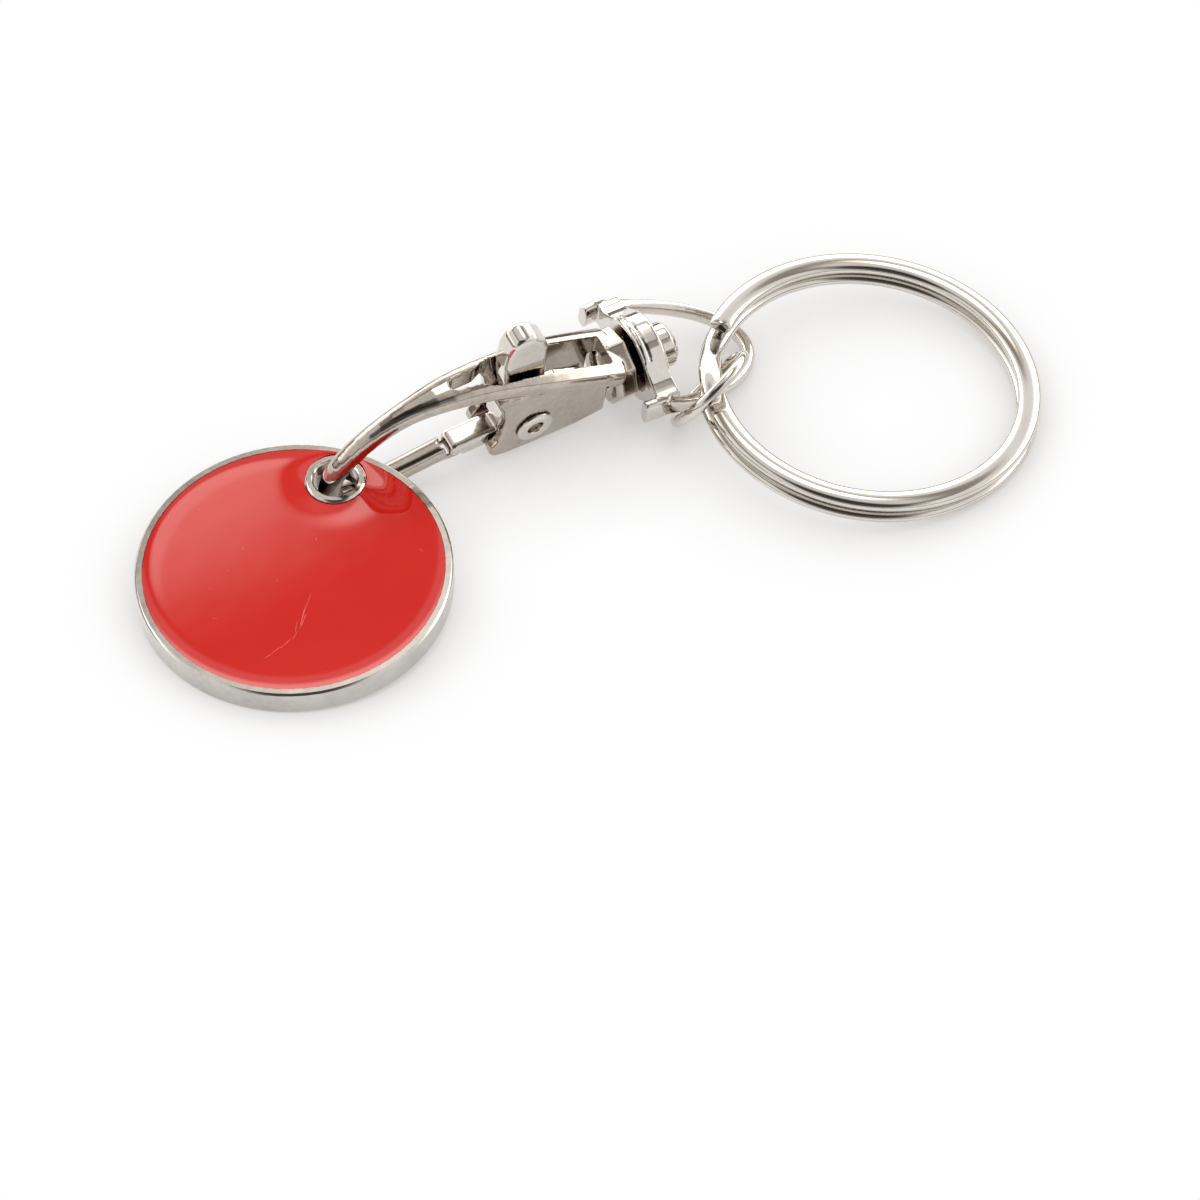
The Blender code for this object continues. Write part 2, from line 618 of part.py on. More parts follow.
def build_lever(frame, materials):
    """Build the trigger lever: drum, gate bar and thumb tab; the frame is on the pin's axis."""
    half = LEVER_WIDTH / 2
    lever = make_object("trigger_lever", revolve(
        [(0, -half), (LEVER_DRUM_RADIUS - LEVER_EDGE, -half), (LEVER_DRUM_RADIUS, LEVER_EDGE - half),
         (LEVER_DRUM_RADIUS, half - LEVER_EDGE), (LEVER_DRUM_RADIUS - LEVER_EDGE, half), (0, half)],
        COLLAR_STEPS, "Y"), frame, materials["nickel"])
    end_drop = GATE_END_DROP - PIN_DROP
    top = GATE_HEIGHT / 2
    root_drop = LEVER_DRUM_RADIUS - GATE_HEIGHT / 2 - LEVER_EDGE
    gate = make_object("join_gate", prism(
        [(0, -root_drop - top), (0, -root_drop + top), (-GATE_LENGTH, top - end_drop),
         (-GATE_LENGTH, -end_drop - top), (-GATE_LENGTH * GATE_KNEE_SHARE, -root_drop - top)],
        GATE_WIDTH / 2), frame)
    add_bevel(gate, GATE_WIDTH / 5)
    combine(lever, gate, "UNION")
    lean = TAB_LEAN / TAB_HEIGHT
    tab = make_object("join_tab", prism(
        [(x * TAB_LENGTH - lean * z * TAB_HEIGHT, z * TAB_HEIGHT) for x, z in TAB_SHARES],
        TAB_WIDTH / 2), frame)
    add_bevel(tab, TAB_WIDTH / 5)
    combine(lever, tab, "UNION")
    # The heel behind the tab stays on the near side of the spring's leg
    heel_far = spring_start(1) - SPRING_WIRE / 2 - SPRING_PLAY
    heel_half = (heel_far + half) / 2
    heel = make_object("join_heel", move(prism(
        [(-TAB_LENGTH / 4, HEEL_END_RISE - HEEL_THICKNESS), (HEEL_LENGTH, HEEL_END_RISE - HEEL_THICKNESS),
         (HEEL_LENGTH, HEEL_END_RISE), (HEEL_LENGTH / 2, HEEL_RISE), (-TAB_LENGTH / 4, HEEL_RISE)],
        heel_half), 0, heel_far - heel_half), frame)
    combine(lever, heel, "UNION")

    outer = SPRING_RADIUS + SPRING_WIRE / 2 + SPRING_PLAY
    inner = PIN_RADIUS + PIN_PLAY
    floor = half - SPRING_WALL
    room = make_object("cut_spring_room", revolve(
        [(0, -half - CUT_OVERRUN), (outer, -half - CUT_OVERRUN), (outer, floor), (0, floor)],
        COLLAR_STEPS, "Y"), frame)
    combine(lever, room, "DIFFERENCE")
    bore = make_object("cut_lever_bore", revolve(
        [(0, 0), (inner, 0), (inner, half + CUT_OVERRUN), (0, half + CUT_OVERRUN)],
        SMALL_STEPS, "Y"), frame)
    combine(lever, bore, "DIFFERENCE")
    rebate = LEDGE_LENGTH + LEDGE_PLAY
    rebate_top = -end_drop - LEDGE_DROP + LEDGE_THICKNESS + LEDGE_PLAY
    rebate_low = rebate_top - GATE_HEIGHT
    notch = make_object("cut_gate_rebate", prism(
        [(-GATE_LENGTH - CUT_OVERRUN, rebate_low), (rebate - GATE_LENGTH, rebate_low),
         (rebate - GATE_LENGTH, rebate_top), (-GATE_LENGTH - CUT_OVERRUN, rebate_top)], GATE_WIDTH), frame)
    combine(lever, notch, "DIFFERENCE")
    # Openings for the spring's legs: a channel along the gate bar, a window toward the flange
    play = SPRING_WIRE / 2 + SPRING_PLAY
    gate_leg = spring_start(-1)
    channel_half = (gate_leg + play + half + CUT_OVERRUN) / 2
    channel_low = -SPRING_RADIUS - play * CHANNEL_SHARE
    channel_high = -SPRING_RADIUS + play
    channel = make_object("cut_gate_channel", move(prism(
        [(-GATE_LENGTH / 2, channel_low), (-play, channel_low), (-play, channel_high),
         (-GATE_LENGTH / 2, channel_high)], channel_half), 0, gate_leg + play - channel_half), frame)
    combine(lever, channel, "DIFFERENCE")
    edge = LEVER_DRUM_RADIUS + CUT_OVERRUN
    window_far = spring_start(1) + play
    window_half = (window_far + half + CUT_OVERRUN) / 2
    window = make_object("cut_flange_window", move(prism(
        [(outer / 3, -edge), (edge, -edge), (edge, outer / 4), (outer / 3, outer / 4)], window_half),
        0, window_far - window_half), frame)
    combine(lever, window, "DIFFERENCE")


def spring_start(side):
    """Return the Y of the body leg (side +1) or of the gate leg (side -1), on the pin's axis."""
    return side * SPRING_PITCH * SPRING_TURNS / 2 - SPRING_WALL / 2


def spring_points():
    """Return the torsion spring's points: body leg, turns round the pin, gate leg."""
    start = spring_start(1)
    leg_right = PIN_FROM_COLLAR + FLANGE_LEFT - SPRING_WIRE
    points = [Vector((leg_right, start, -SPRING_RADIUS)), Vector((leg_right / 2, start, -SPRING_RADIUS))]
    total = SPRING_TURNS * CURL_POINTS
    for step in range(total + 1):
        turn = -math.pi / 2 - math.tau * step / CURL_POINTS
        points.append(Vector((SPRING_RADIUS * math.cos(turn), start - SPRING_PITCH * step / CURL_POINTS,
                              SPRING_RADIUS * math.sin(turn))))
    end = points[-1]
    points.append(end + Vector((-GATE_LENGTH * SPRING_LEG_SHARE / 2, 0, 0)))
    points.append(end + Vector((-GATE_LENGTH * SPRING_LEG_SHARE, 0, 0)))
    return points


def report_spring_gap(points):
    """Print the least gap between the spring's turns, measured between its points."""
    far = CURL_POINTS // 2
    least = min((a - b).length for index, a in enumerate(points) for b in points[index + far:])
    print(f"spring: least gap to itself {(least - SPRING_WIRE) * 1000:.2f} mm")


def build_spring(frame, materials):
    """Build the torsion spring as one tube round the pin."""
    points = spring_points()
    report_spring_gap(points)
    curve = bpy.data.curves.new("trigger_spring", "CURVE")
    curve.dimensions = "3D"
    curve.bevel_depth = SPRING_WIRE / 2
    curve.bevel_resolution = 1
    curve.use_fill_caps = True
    spline = curve.splines.new("POLY")
    spline.points.add(len(points) - 1)
    for target, point in zip(spline.points, points):
        target.co = (*point, 1.0)
    curve.materials.append(materials["spring"])
    spring = bpy.data.objects.new("trigger_spring", curve)
    bpy.context.collection.objects.link(spring)
    spring.parent = frame


def bail_point(turn):
    """Return a point on the bail's middle line, in the eye's frame; turn 0 is its far end."""
    share = math.cos(turn)
    reach = max(share, 0.0)
    return Vector((BAIL_CENTRE + BAIL_LENGTH * share, BAIL_HALF_WIDTH * math.sin(turn) + BAIL_SKEW * reach,
                   -BAIL_DROP * reach ** BAIL_DROP_POWER))


def lug_outline():
    """Return the ears' (z, y) outline, which falls in a hollow curve from the collar to both ends."""
    inner = COLLAR_RADIUS * math.cos(LUG_FROM)
    low = LUG_HEIGHT / 2
    extra = COLLAR_RADIUS * math.sin(LUG_FROM) - low
    edge = [(low + extra * rise, inner + (BAIL_HALF_WIDTH - inner) * way) for way, rise in EAR_EDGE_SHARES]
    right = edge + [(-z, y) for z, y in edge[::-1]]
    return right + [(z, -y) for z, y in right[::-1]]


def build_eye(frame, materials):
    """Build the swivel eye: plate, collar, two ears and the D-shaped bail, cast in one."""
    front = COLLAR_FRONT
    back = COLLAR_BACK
    step = back + PLATE_THICKNESS
    cut = COLLAR_CHAMFER
    eye = make_object("swivel_eye", revolve(
        [(0, back), (COLLAR_RADIUS - cut, back), (COLLAR_RADIUS, back + cut),
         (COLLAR_RADIUS, step - PLATE_STEP), (COLLAR_RADIUS - PLATE_STEP, step),
         (COLLAR_RADIUS, step + PLATE_STEP), (COLLAR_RADIUS, front - cut), (COLLAR_RADIUS - cut, front),
         (0, front)], COLLAR_STEPS, "X"), frame, materials["nickel"])
    turns = [math.radians(angle) for angle in range(-EAR_TURN, EAR_TURN + 1, BAIL_TURN_STEP)]
    ear_shares = [min(max((abs(turn) - EAR_FROM) / (EAR_FULL - EAR_FROM), 0.0), 1.0) for turn in turns]
    heights = [BAIL_HEIGHT + (EAR_HEIGHT - BAIL_HEIGHT) * share for share in ear_shares]
    count = len(turns)
    line = [bail_point(turn) for turn in turns]
    strap = make_object("join_bail", sweep(line, [Vector((0, 0, 1))] * count, heights,
                                           [BAIL_THICKNESS] * count, [STRAP_SQUARE] * count,
                                           ARM_SIDES), frame)
    combine(eye, strap, "UNION")
    lugs = raise_plan(lug_outline(), back + PLATE_STEP / 3, front - cut)
    lugs.transform(Matrix.Rotation(math.pi / 2, 4, "Y"))
    combine(eye, make_object("join_lugs", lugs, frame), "UNION")
    bore = RIVET_SHANK_RADIUS + SWIVEL_PLAY
    hole = make_object("cut_eye_bore", revolve(
        [(0, back - CUT_OVERRUN), (bore, back - CUT_OVERRUN), (bore, front + CUT_OVERRUN),
         (0, front + CUT_OVERRUN)], SMALL_STEPS, "X"), frame)
    combine(eye, hole, "DIFFERENCE")


def ring_points(radius, gap_angle, steps, start=0.0):
    """Return points round a circle in the XY plane, leaving a gap centred on the start angle."""
    span = math.tau - gap_angle
    turns = [start + gap_angle / 2 + span * step / steps for step in range(steps + 1)]
    return [Vector((radius * math.cos(turn), radius * math.sin(turn), 0)) for turn in turns]


def face_along(direction):
    """Return a turn whose X axis follows a direction and whose Y axis stays level."""
    along = direction.normalized()
    level = Vector((0, 0, 1)).cross(along).normalized()
    return Matrix((along, level, along.cross(level))).transposed().to_4x4()


def build_jump_ring(frame, materials, place):
    """Build the open wire ring; its frame is on the bail's middle line, along the bail."""
    points = ring_points(JUMP_RING_RADIUS, JUMP_RING_GAP / JUMP_RING_RADIUS, RING_STEPS, JUMP_GAP_TURN)
    count = len(points)
    wires = [JUMP_RING_WIRE] * count
    ring = make_object("jump_ring", sweep(points, points, wires, wires, [0.0] * count, TUBE_SIDES),
                       frame, materials["nickel"])
    ring.data.transform(place)


def split_ring_points():
    """Return the split ring's middle line: an upper turn, a step and a lower turn."""
    step_span = SPLIT_STEP_ANGLE
    total = 2 * math.tau - step_span
    count = 2 * SPLIT_STEPS
    points = []
    for index in range(count + 1):
        turn = total * index / count
        fall = min(max((turn - (math.tau - step_span)) / step_span, 0.0), 1.0)
        ease = fall * fall * (3 - 2 * fall)
        height = SPLIT_LEVEL * (1 - 2 * ease)
        angle = SPLIT_END_ANGLE - turn
        points.append(Vector((SPLIT_RADIUS * math.cos(angle), SPLIT_RADIUS * math.sin(angle), height)))
    return points


def build_split_ring(frame, materials):
    """Build the two-turn split ring; the frame is at its centre."""
    points = split_ring_points()
    count = len(points)
    radials = [Vector((point.x, point.y, 0)) for point in points]
    widths = [SPLIT_WIRE_WIDTH] * count
    heights = [SPLIT_WIRE_HEIGHT] * count
    make_object("split_ring", sweep(points, radials, widths, heights, [SPLIT_SQUARE] * count, TUBE_SIDES),
                frame, materials["steel"])


def lie_on_floor(root):
    """Shift the root so that the lowest point is at Z = 0 and the box is centred over the origin."""
    bpy.context.view_layer.update()
    graph = bpy.context.evaluated_depsgraph_get()
    low = Vector((math.inf,) * 3)
    high = -low
    for item in bpy.data.objects:
        if item.type == "EMPTY" or item.hide_render:
            continue
        evaluated = item.evaluated_get(graph)
        mesh = evaluated.to_mesh()
        for vertex in mesh.vertices:
            place = evaluated.matrix_world @ vertex.co
            low = Vector(map(min, low, place))
            high = Vector(map(max, high, place))
        evaluated.to_mesh_clear()
    root.location -= Vector(((low.x + high.x) / 2, (low.y + high.y) / 2, low.z))
    bpy.context.view_layer.update()
    size = (high - low) * 1000
    print(f"size: {size.x:.2f} x {size.y:.2f} x {size.z:.2f} mm")


def report_frames(frames):
    """Print each joint frame's place and axes in the world."""
    for frame in frames:
        matrix = frame.matrix_world
        place = ", ".join(f"{value:.6f}" for value in matrix.translation)
        axes = [", ".join(f"{value:.5f}" for value in matrix.col[index].xyz) for index in range(3)]
        print(f"{frame.name}: at {place} axes ({axes[0]}) ({axes[1]}) ({axes[2]})")


def main():
    """Build the keyring."""
    clear_scene()
    materials = {
        "nickel": make_material("nickel_plate", (0.78, 0.76, 0.73), 0.16, 1.0),
        "rivet": make_material("rivet_nickel", (0.74, 0.72, 0.70), 0.22, 1.0),
        "steel": make_material("ring_steel", (0.76, 0.75, 0.73), 0.18, 1.0),
        "spring": make_material("spring_steel", (0.60, 0.58, 0.56), 0.30, 1.0),
        "enamel": make_material("red_enamel", (0.62, 0.02, 0.02), 0.30, 0.0),
        "clear": make_material("clear_coat", (1.0, 1.0, 1.0), 0.03, 0.0, 1.0),
    }
    root = make_frame("keyring_frame", None, Matrix())
    eye_turn = Matrix.Rotation(EYE_ROLL, 4, "X")
    eye_frame = make_frame("eye_frame", root, eye_turn)
    build_eye(eye_frame, materials)
    hook_frame = make_frame("hook_frame", root, Matrix.Rotation(HOOK_ROLL, 4, "X"))
    build_hook(hook_frame, materials)
    pin_frame = make_frame("pin_frame", hook_frame, Matrix.Translation((-PIN_FROM_COLLAR, 0, -PIN_DROP)))
    build_pin(pin_frame, materials)
    build_lever(pin_frame, materials)
    build_spring(pin_frame, materials)

    tilt = COIN_TILT
    middle = FLOOR + COIN_RADIUS * math.sin(tilt) + COIN_THICKNESS / 2 * math.cos(tilt)
    hole_height = middle + HOLE_FROM_CENTRE * math.sin(tilt)
    hole_place = Vector((-CLAW_REACH + COIN_SHIFT_X, COIN_SHIFT_Y, hole_height))
    coin_turn = Matrix.Rotation(COIN_SWING, 4, "Z") @ Matrix.Rotation(-tilt, 4, "Y")
    coin_frame = make_frame("coin_frame", root, Matrix.Translation(hole_place) @ coin_turn)
    build_coin(coin_frame, materials)

    link = eye_turn @ bail_point(STRAP_LINK_TURN)
    along = eye_turn @ bail_point(STRAP_LINK_TURN + BAIL_NUDGE) - link
    jump_place = Matrix.Translation(link) @ face_along(along)
    jump_frame = make_frame("jump_ring_frame", root, jump_place)
    ring_place = Vector((JUMP_RING_X, JUMP_RING_Y, JUMP_RING_Z))
    ring_turn = Matrix.Rotation(JUMP_RING_HEADING, 4, "Z") @ Matrix.Rotation(JUMP_RING_LEAN, 4, "X")
    ring_matrix = jump_place.inverted() @ Matrix.Translation(ring_place) @ ring_turn
    build_jump_ring(jump_frame, materials, ring_matrix)

    lean = Matrix.Rotation(SPLIT_RING_TILT_HEADING, 4, "Z") @ Matrix.Rotation(SPLIT_RING_TILT, 4, "Y")
    reach = Vector((math.cos(SPLIT_LINK_TURN), math.sin(SPLIT_LINK_TURN), 0)) * SPLIT_RADIUS
    split_place = Vector((SPLIT_LINK_X, SPLIT_LINK_Y, SPLIT_LINK_Z)) - lean @ reach
    split_frame = make_frame("split_ring_frame", root, Matrix.Translation(split_place) @ lean)
    build_split_ring(split_frame, materials)
    lie_on_floor(root)
    report_frames((root, eye_frame, hook_frame, pin_frame, coin_frame, jump_frame, split_frame))


main()
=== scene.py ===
"""Looks of the coin holder keyring: polished castings, wire rings and an enamelled coin on white.

Lengths are in metres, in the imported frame. Every piece takes its place from the frame's nodes and joints.
"""

import json
import logging
import math
from collections.abc import Sequence
from dataclasses import dataclass
from enum import Enum
from typing import Any, Callable

import bpy
from mathutils import Matrix, Vector

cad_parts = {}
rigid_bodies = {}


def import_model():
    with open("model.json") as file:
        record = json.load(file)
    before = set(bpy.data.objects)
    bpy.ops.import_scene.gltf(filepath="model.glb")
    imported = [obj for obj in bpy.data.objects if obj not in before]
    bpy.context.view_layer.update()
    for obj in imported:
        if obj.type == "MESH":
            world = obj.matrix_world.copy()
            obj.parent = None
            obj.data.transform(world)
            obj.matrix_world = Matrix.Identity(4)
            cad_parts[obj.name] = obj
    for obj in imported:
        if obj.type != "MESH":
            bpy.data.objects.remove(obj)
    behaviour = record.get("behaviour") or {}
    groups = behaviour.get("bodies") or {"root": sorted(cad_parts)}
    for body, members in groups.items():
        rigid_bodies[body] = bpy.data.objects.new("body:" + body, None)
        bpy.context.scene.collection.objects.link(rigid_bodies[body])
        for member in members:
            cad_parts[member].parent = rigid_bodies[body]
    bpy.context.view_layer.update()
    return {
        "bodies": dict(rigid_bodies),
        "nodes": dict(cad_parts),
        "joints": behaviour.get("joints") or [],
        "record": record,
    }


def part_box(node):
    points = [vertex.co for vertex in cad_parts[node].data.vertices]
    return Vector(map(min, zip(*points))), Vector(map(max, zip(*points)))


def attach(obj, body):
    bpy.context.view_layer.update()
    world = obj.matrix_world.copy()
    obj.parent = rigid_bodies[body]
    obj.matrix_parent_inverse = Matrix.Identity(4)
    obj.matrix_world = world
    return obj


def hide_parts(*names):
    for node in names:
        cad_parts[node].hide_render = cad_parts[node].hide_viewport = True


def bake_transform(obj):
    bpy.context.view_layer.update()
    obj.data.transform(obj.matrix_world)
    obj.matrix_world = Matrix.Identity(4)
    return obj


log = logging.getLogger("keyring")

MM = 0.001
WHITE = "#FFFFFF"

Stops = Sequence[tuple[float, str]]
Span = tuple[float, float]


def linear(code: str) -> tuple[float, float, float, float]:
    """Turn an sRGB hex colour into linear RGBA.

    Args:
        code: Six hex digits, with or without a leading hash.

    Returns:
        The linear colour with an alpha of one.
    """
    digits = code.lstrip("#")
    parts = [int(digits[start:start + 2], 16) / 255 for start in (0, 2, 4)]
    turned = [part / 12.92 if part <= 0.04045 else ((part + 0.055) / 1.055) ** 2.4 for part in parts]
    return (turned[0], turned[1], turned[2], 1.0)


def add_node(tree: bpy.types.NodeTree, kind: str, inputs: dict[Any, Any] | None = None,
             **settings: Any) -> bpy.types.Node:
    """Add one node with its settings, its values and its links.

    Args:
        tree: The node tree that takes the node.
        kind: The node's type name.
        inputs: Values or output sockets by input name or number.
        **settings: Properties of the node itself.

    Returns:
        The new node.
    """
    node = tree.nodes.new(kind)
    for name, value in settings.items():
        setattr(node, name, value)
    for key, value in (inputs or {}).items():
        if isinstance(value, bpy.types.NodeSocket):
            tree.links.new(value, node.inputs[key])
        else:
            node.inputs[key].default_value = value
    return node


def add_math(tree: bpy.types.NodeTree, operation: str, *values: Any) -> bpy.types.NodeSocket:
    """Add a math node on values or sockets and return its result."""
    return add_node(tree, "ShaderNodeMath", dict(enumerate(values)), operation=operation).outputs[0]


def add_noise(tree: bpy.types.NodeTree, place: bpy.types.NodeSocket, length: float, detail: float = 2.0,
              roughness: float = 0.5) -> bpy.types.NodeSocket:
    """Add a noise and return its value.

    Args:
        tree: The node tree.
        place: The coordinates.
        length: The size of its largest patches, in metres.
        detail: How many finer layers it has.
        roughness: How strong the finer layers are.

    Returns:
        The noise's value, from 0 to 1.
    """
    return add_node(tree, "ShaderNodeTexNoise", {"Vector": place, "Scale": 1 / length, "Detail": detail,
                                                 "Roughness": roughness}).outputs["Fac"]


def add_range(tree: bpy.types.NodeTree, value: bpy.types.NodeSocket, source: Span, target: Span = (0.0, 1.0),
              smooth: bool = False) -> bpy.types.NodeSocket:
    """Map a value from one range to another, clamped, and return it.

    Args:
        tree: The node tree.
        value: The value.
        source: The range that it comes in.
        target: The range that it goes to.
        smooth: Whether it eases in and out.

    Returns:
        The mapped value.
    """
    return add_node(tree, "ShaderNodeMapRange",
                    {"Value": value, "From Min": source[0], "From Max": source[1], "To Min": target[0],
                     "To Max": target[1]},
                    interpolation_type="SMOOTHSTEP" if smooth else "LINEAR").outputs[0]


def add_ramp(tree: bpy.types.NodeTree, value: bpy.types.NodeSocket, stops: Stops,
             smooth: bool = False) -> bpy.types.NodeSocket:
    """Add a colour ramp over a value and return its colour.

    Args:
        tree: The node tree.
        value: The value that picks the colour.
        stops: Positions from 0 to 1 with their hex colours.
        smooth: Whether the colours ease into each other.

    Returns:
        The colour.
    """
    node = add_node(tree, "ShaderNodeValToRGB", {"Fac": value})
    ramp = node.color_ramp
    ramp.interpolation = "EASE" if smooth else "LINEAR"
    while len(ramp.elements) < len(stops):
        ramp.elements.new(0.5)
    for element, (position, code) in zip(ramp.elements, stops):
        element.position = position
        element.color = linear(code)
    return node.outputs["Color"]


def add_bump(tree: bpy.types.NodeTree, value: bpy.types.NodeSocket, height: float,
             target: bpy.types.NodeSocket) -> None:
    """Drive a shader's normal with the slope of a value, scaled to a height in metres."""
    bump = add_node(tree, "ShaderNodeBump", {"Height": value, "Distance": height, "Strength": 1.0})
    tree.links.new(bump.outputs["Normal"], target)


def start_material(name: str) -> tuple[bpy.types.Material, bpy.types.Node, bpy.types.NodeSocket]:
    """Start a material on the default shader.

    Args:
        name: The material's name.

    Returns:
        The material, its shader and the object coordinates.
    """
    material = bpy.data.materials.new(name)
    material.use_nodes = True
    place = add_node(material.node_tree, "ShaderNodeTexCoord").outputs["Object"]
    return material, material.node_tree.nodes["Principled BSDF"], place


def select_only(piece: bpy.types.Object) -> None:
    """Leave one object selected and active, in object mode."""
    if bpy.context.object and bpy.context.object.mode != "OBJECT":
        bpy.ops.object.mode_set(mode="OBJECT")
    bpy.ops.object.select_all(action="DESELECT")
    piece.select_set(True)
    bpy.context.view_layer.objects.active = piece


def edit_all(piece: bpy.types.Object, edit: Callable[[], Any]) -> None:
    """Run an edit operator on everything in a piece's mesh."""
    select_only(piece)
    bpy.ops.object.mode_set(mode="EDIT")
    bpy.ops.mesh.select_all(action="SELECT")
    edit()
    bpy.ops.object.mode_set(mode="OBJECT")


def apply_modifier(piece: bpy.types.Object, kind: str, **settings: Any) -> None:
    """Add a modifier with its settings and apply it.

    Args:
        piece: The object that is changed.
        kind: The modifier's type.
        **settings: Properties of the modifier.
    """
    select_only(piece)
    modifier = piece.modifiers.new(kind.lower(), kind)
    for name, value in settings.items():
        setattr(modifier, name, value)
    bpy.ops.object.modifier_apply(modifier=modifier.name)


def settle(piece: bpy.types.Object, matrix: Matrix) -> None:
    """Move a piece by a matrix and write that into its mesh."""
    piece.matrix_world = matrix
    select_only(piece)
    bpy.ops.object.transform_apply(location=True, rotation=True, scale=True)


def dress(piece: bpy.types.Object, material: bpy.types.Material) -> None:
    """Give a piece one material in place of all others."""
    piece.data.materials.clear()
    piece.data.materials.append(material)


def find_joint(frame: dict[str, Any], name: str) -> tuple[Vector, Vector]:
    """Look up a joint.

    Args:
        frame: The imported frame.
        name: The joint's name.

    Returns:
        A point on its axis, and the axis as a unit vector.
    """
    joint = next(item for item in frame["joints"] if item["name"] == name)
    return Vector(joint["pos_m"]), Vector(joint["axis"]).normalized()


@dataclass(frozen=True)
class BrightNickel:
    """Nickel electroplated on zinc or iron and tumbled: bright, a touch warm, faintly wavy, with painted
    shade in its hollows.
    """

    name: str
    colour: str = "#D9D3CC"
    dull_colour: str = "#CAC3BB"
    # Brown of the painted shade in the hollows
    hollow_shade_colour: str = "#B5A392"
    roughness: float = 0.08
    dull_roughness: float = 0.17
    cloud_length: float = 3.2 * MM
    cloud_detail: float = 3.0
    rub_length: float = 0.5 * MM
    rub_detail: float = 6.0
    rub_strength: float = 0.7
    dull_span: Span = (0.14, 0.42)
    tint_span: Span = (0.12, 0.45)
    # Reach and strength of the painted shade in crevices
    crevice_reach: float = 1.1 * MM
    crevice_span: Span = (0.08, 0.66)
    crevice_samples: int = 8
    wave_length: float = 1.6 * MM
    wave_height: float = 0.0035 * MM

    def make(self) -> bpy.types.Material:
        """Build the plated metal."""
        material, shader, place = start_material(self.name)
        tree = material.node_tree
        shader.inputs["Metallic"].default_value = 1.0
        # Cloudy patches, where tumbling left the plate a little duller
        cloud = add_noise(tree, place, self.cloud_length, self.cloud_detail)
        rub = add_noise(tree, place, self.rub_length, self.rub_detail, self.rub_strength)
        wear = add_math(tree, "MULTIPLY", cloud, rub)
        spread = add_range(tree, wear, self.dull_span, (self.roughness, self.dull_roughness))
        tree.links.new(spread, shader.inputs["Roughness"])
        tint = add_ramp(tree, wear, tuple(zip(self.tint_span, (self.colour, self.dull_colour))))
        # Painted shade: the colour darkens to a brown in crevices and close to other surfaces, by ambient
        # occlusion
        hollow = add_node(tree, "ShaderNodeAmbientOcclusion", {"Distance": self.crevice_reach},
                          samples=self.crevice_samples)
        hollow_shade_stops = tuple(zip(self.crevice_span, (self.hollow_shade_colour, WHITE)))
        hollow_shade = add_ramp(tree, hollow.outputs["AO"], hollow_shade_stops, smooth=True)
        mixed = add_node(tree, "ShaderNodeMix", {0: 1.0, 6: tint, 7: hollow_shade}, data_type="RGBA",
                         blend_type="MULTIPLY")
        tree.links.new(mixed.outputs[2], shader.inputs["Base Color"])
        add_bump(tree, add_noise(tree, place, self.wave_length), self.wave_height, shader.inputs["Normal"])
        return material


@dataclass(frozen=True)
class DrawnWire:
    """Hard steel wire, drawn and then nickel plated: very bright, with a fine grain from the drawing."""

    name: str
    colour: str
    dull_colour: str
    roughness: float
    patch_length: float = 3.0 * MM
    patch_detail: float = 3.0
    tint_span: Span = (0.30, 0.75)
    dull_span: Span = (0.3, 0.8)
    dull_factor: float = 2.0
    grain_length: float = 0.12 * MM
    grain_detail: float = 4.0
    grain_height: float = 0.0012 * MM

    def make(self) -> bpy.types.Material:
        """Build the wire's metal."""
        material, shader, place = start_material(self.name)
        tree = material.node_tree
        shader.inputs["Metallic"].default_value = 1.0
        patch = add_noise(tree, place, self.patch_length, self.patch_detail)
        tint = add_ramp(tree, patch, tuple(zip(self.tint_span, (self.colour, self.dull_colour))))
        tree.links.new(tint, shader.inputs["Base Color"])
        spread = add_range(tree, patch, self.dull_span, (self.roughness, self.roughness * self.dull_factor))
        tree.links.new(spread, shader.inputs["Roughness"])
        grain = add_noise(tree, place, self.grain_length, self.grain_detail)
        add_bump(tree, grain, self.grain_height, shader.inputs["Normal"])
        return material


@dataclass(frozen=True)
class CoatedEnamel:
    """Soft enamel under a clear epoxy coat: saturated red below, a glassy skin with fine dust above."""

    name: str = "coated_red_enamel"
    colour: str = "#D81E16"
    light_colour: str = "#DC281E"
    speck_colour: str = "#F08A80"
    roughness: float = 0.55
    tint_span: Span = (0.30, 0.70)
    cloud_length: float = 6.0 * MM
    cloud_detail: float = 4.0
    speck_spacing: float = 1.7 * MM
    speck_size: float = 0.035 * MM
    coat_ior: float = 1.55
    coat_roughness: float = 0.04
    sag_length: float = 4.0 * MM
    sag_detail: float = 1.0
    sag_height: float = 0.01 * MM

    def make(self) -> bpy.types.Material:
        """Build the enamel with its coat."""
        material, shader, place = start_material(self.name)
        tree = material.node_tree
        cloud = add_noise(tree, place, self.cloud_length, self.cloud_detail)
        tint = add_ramp(tree, cloud, tuple(zip(self.tint_span, (self.colour, self.light_colour))))
        # Dust specks caught in the coat
        speck = add_node(tree, "ShaderNodeTexVoronoi", {"Vector": place, "Scale": 1 / self.speck_spacing})
        dot = add_math(tree, "LESS_THAN", speck.outputs["Distance"], self.speck_size / self.speck_spacing)
        mixed = add_node(tree, "ShaderNodeMix", {0: dot, 6: tint, 7: linear(self.speck_colour)},
                         data_type="RGBA")
        tree.links.new(mixed.outputs[2], shader.inputs["Base Color"])
        shader.inputs["Roughness"].default_value = self.roughness
        shader.inputs["Specular IOR Level"].default_value = 0.0
        shader.inputs["Coat Weight"].default_value = 1.0
        shader.inputs["Coat IOR"].default_value = self.coat_ior
        shader.inputs["Coat Roughness"].default_value = self.coat_roughness
        sag = add_noise(tree, place, self.sag_length, self.sag_detail)
        add_bump(tree, sag, self.sag_height, shader.inputs["Coat Normal"])
        return material


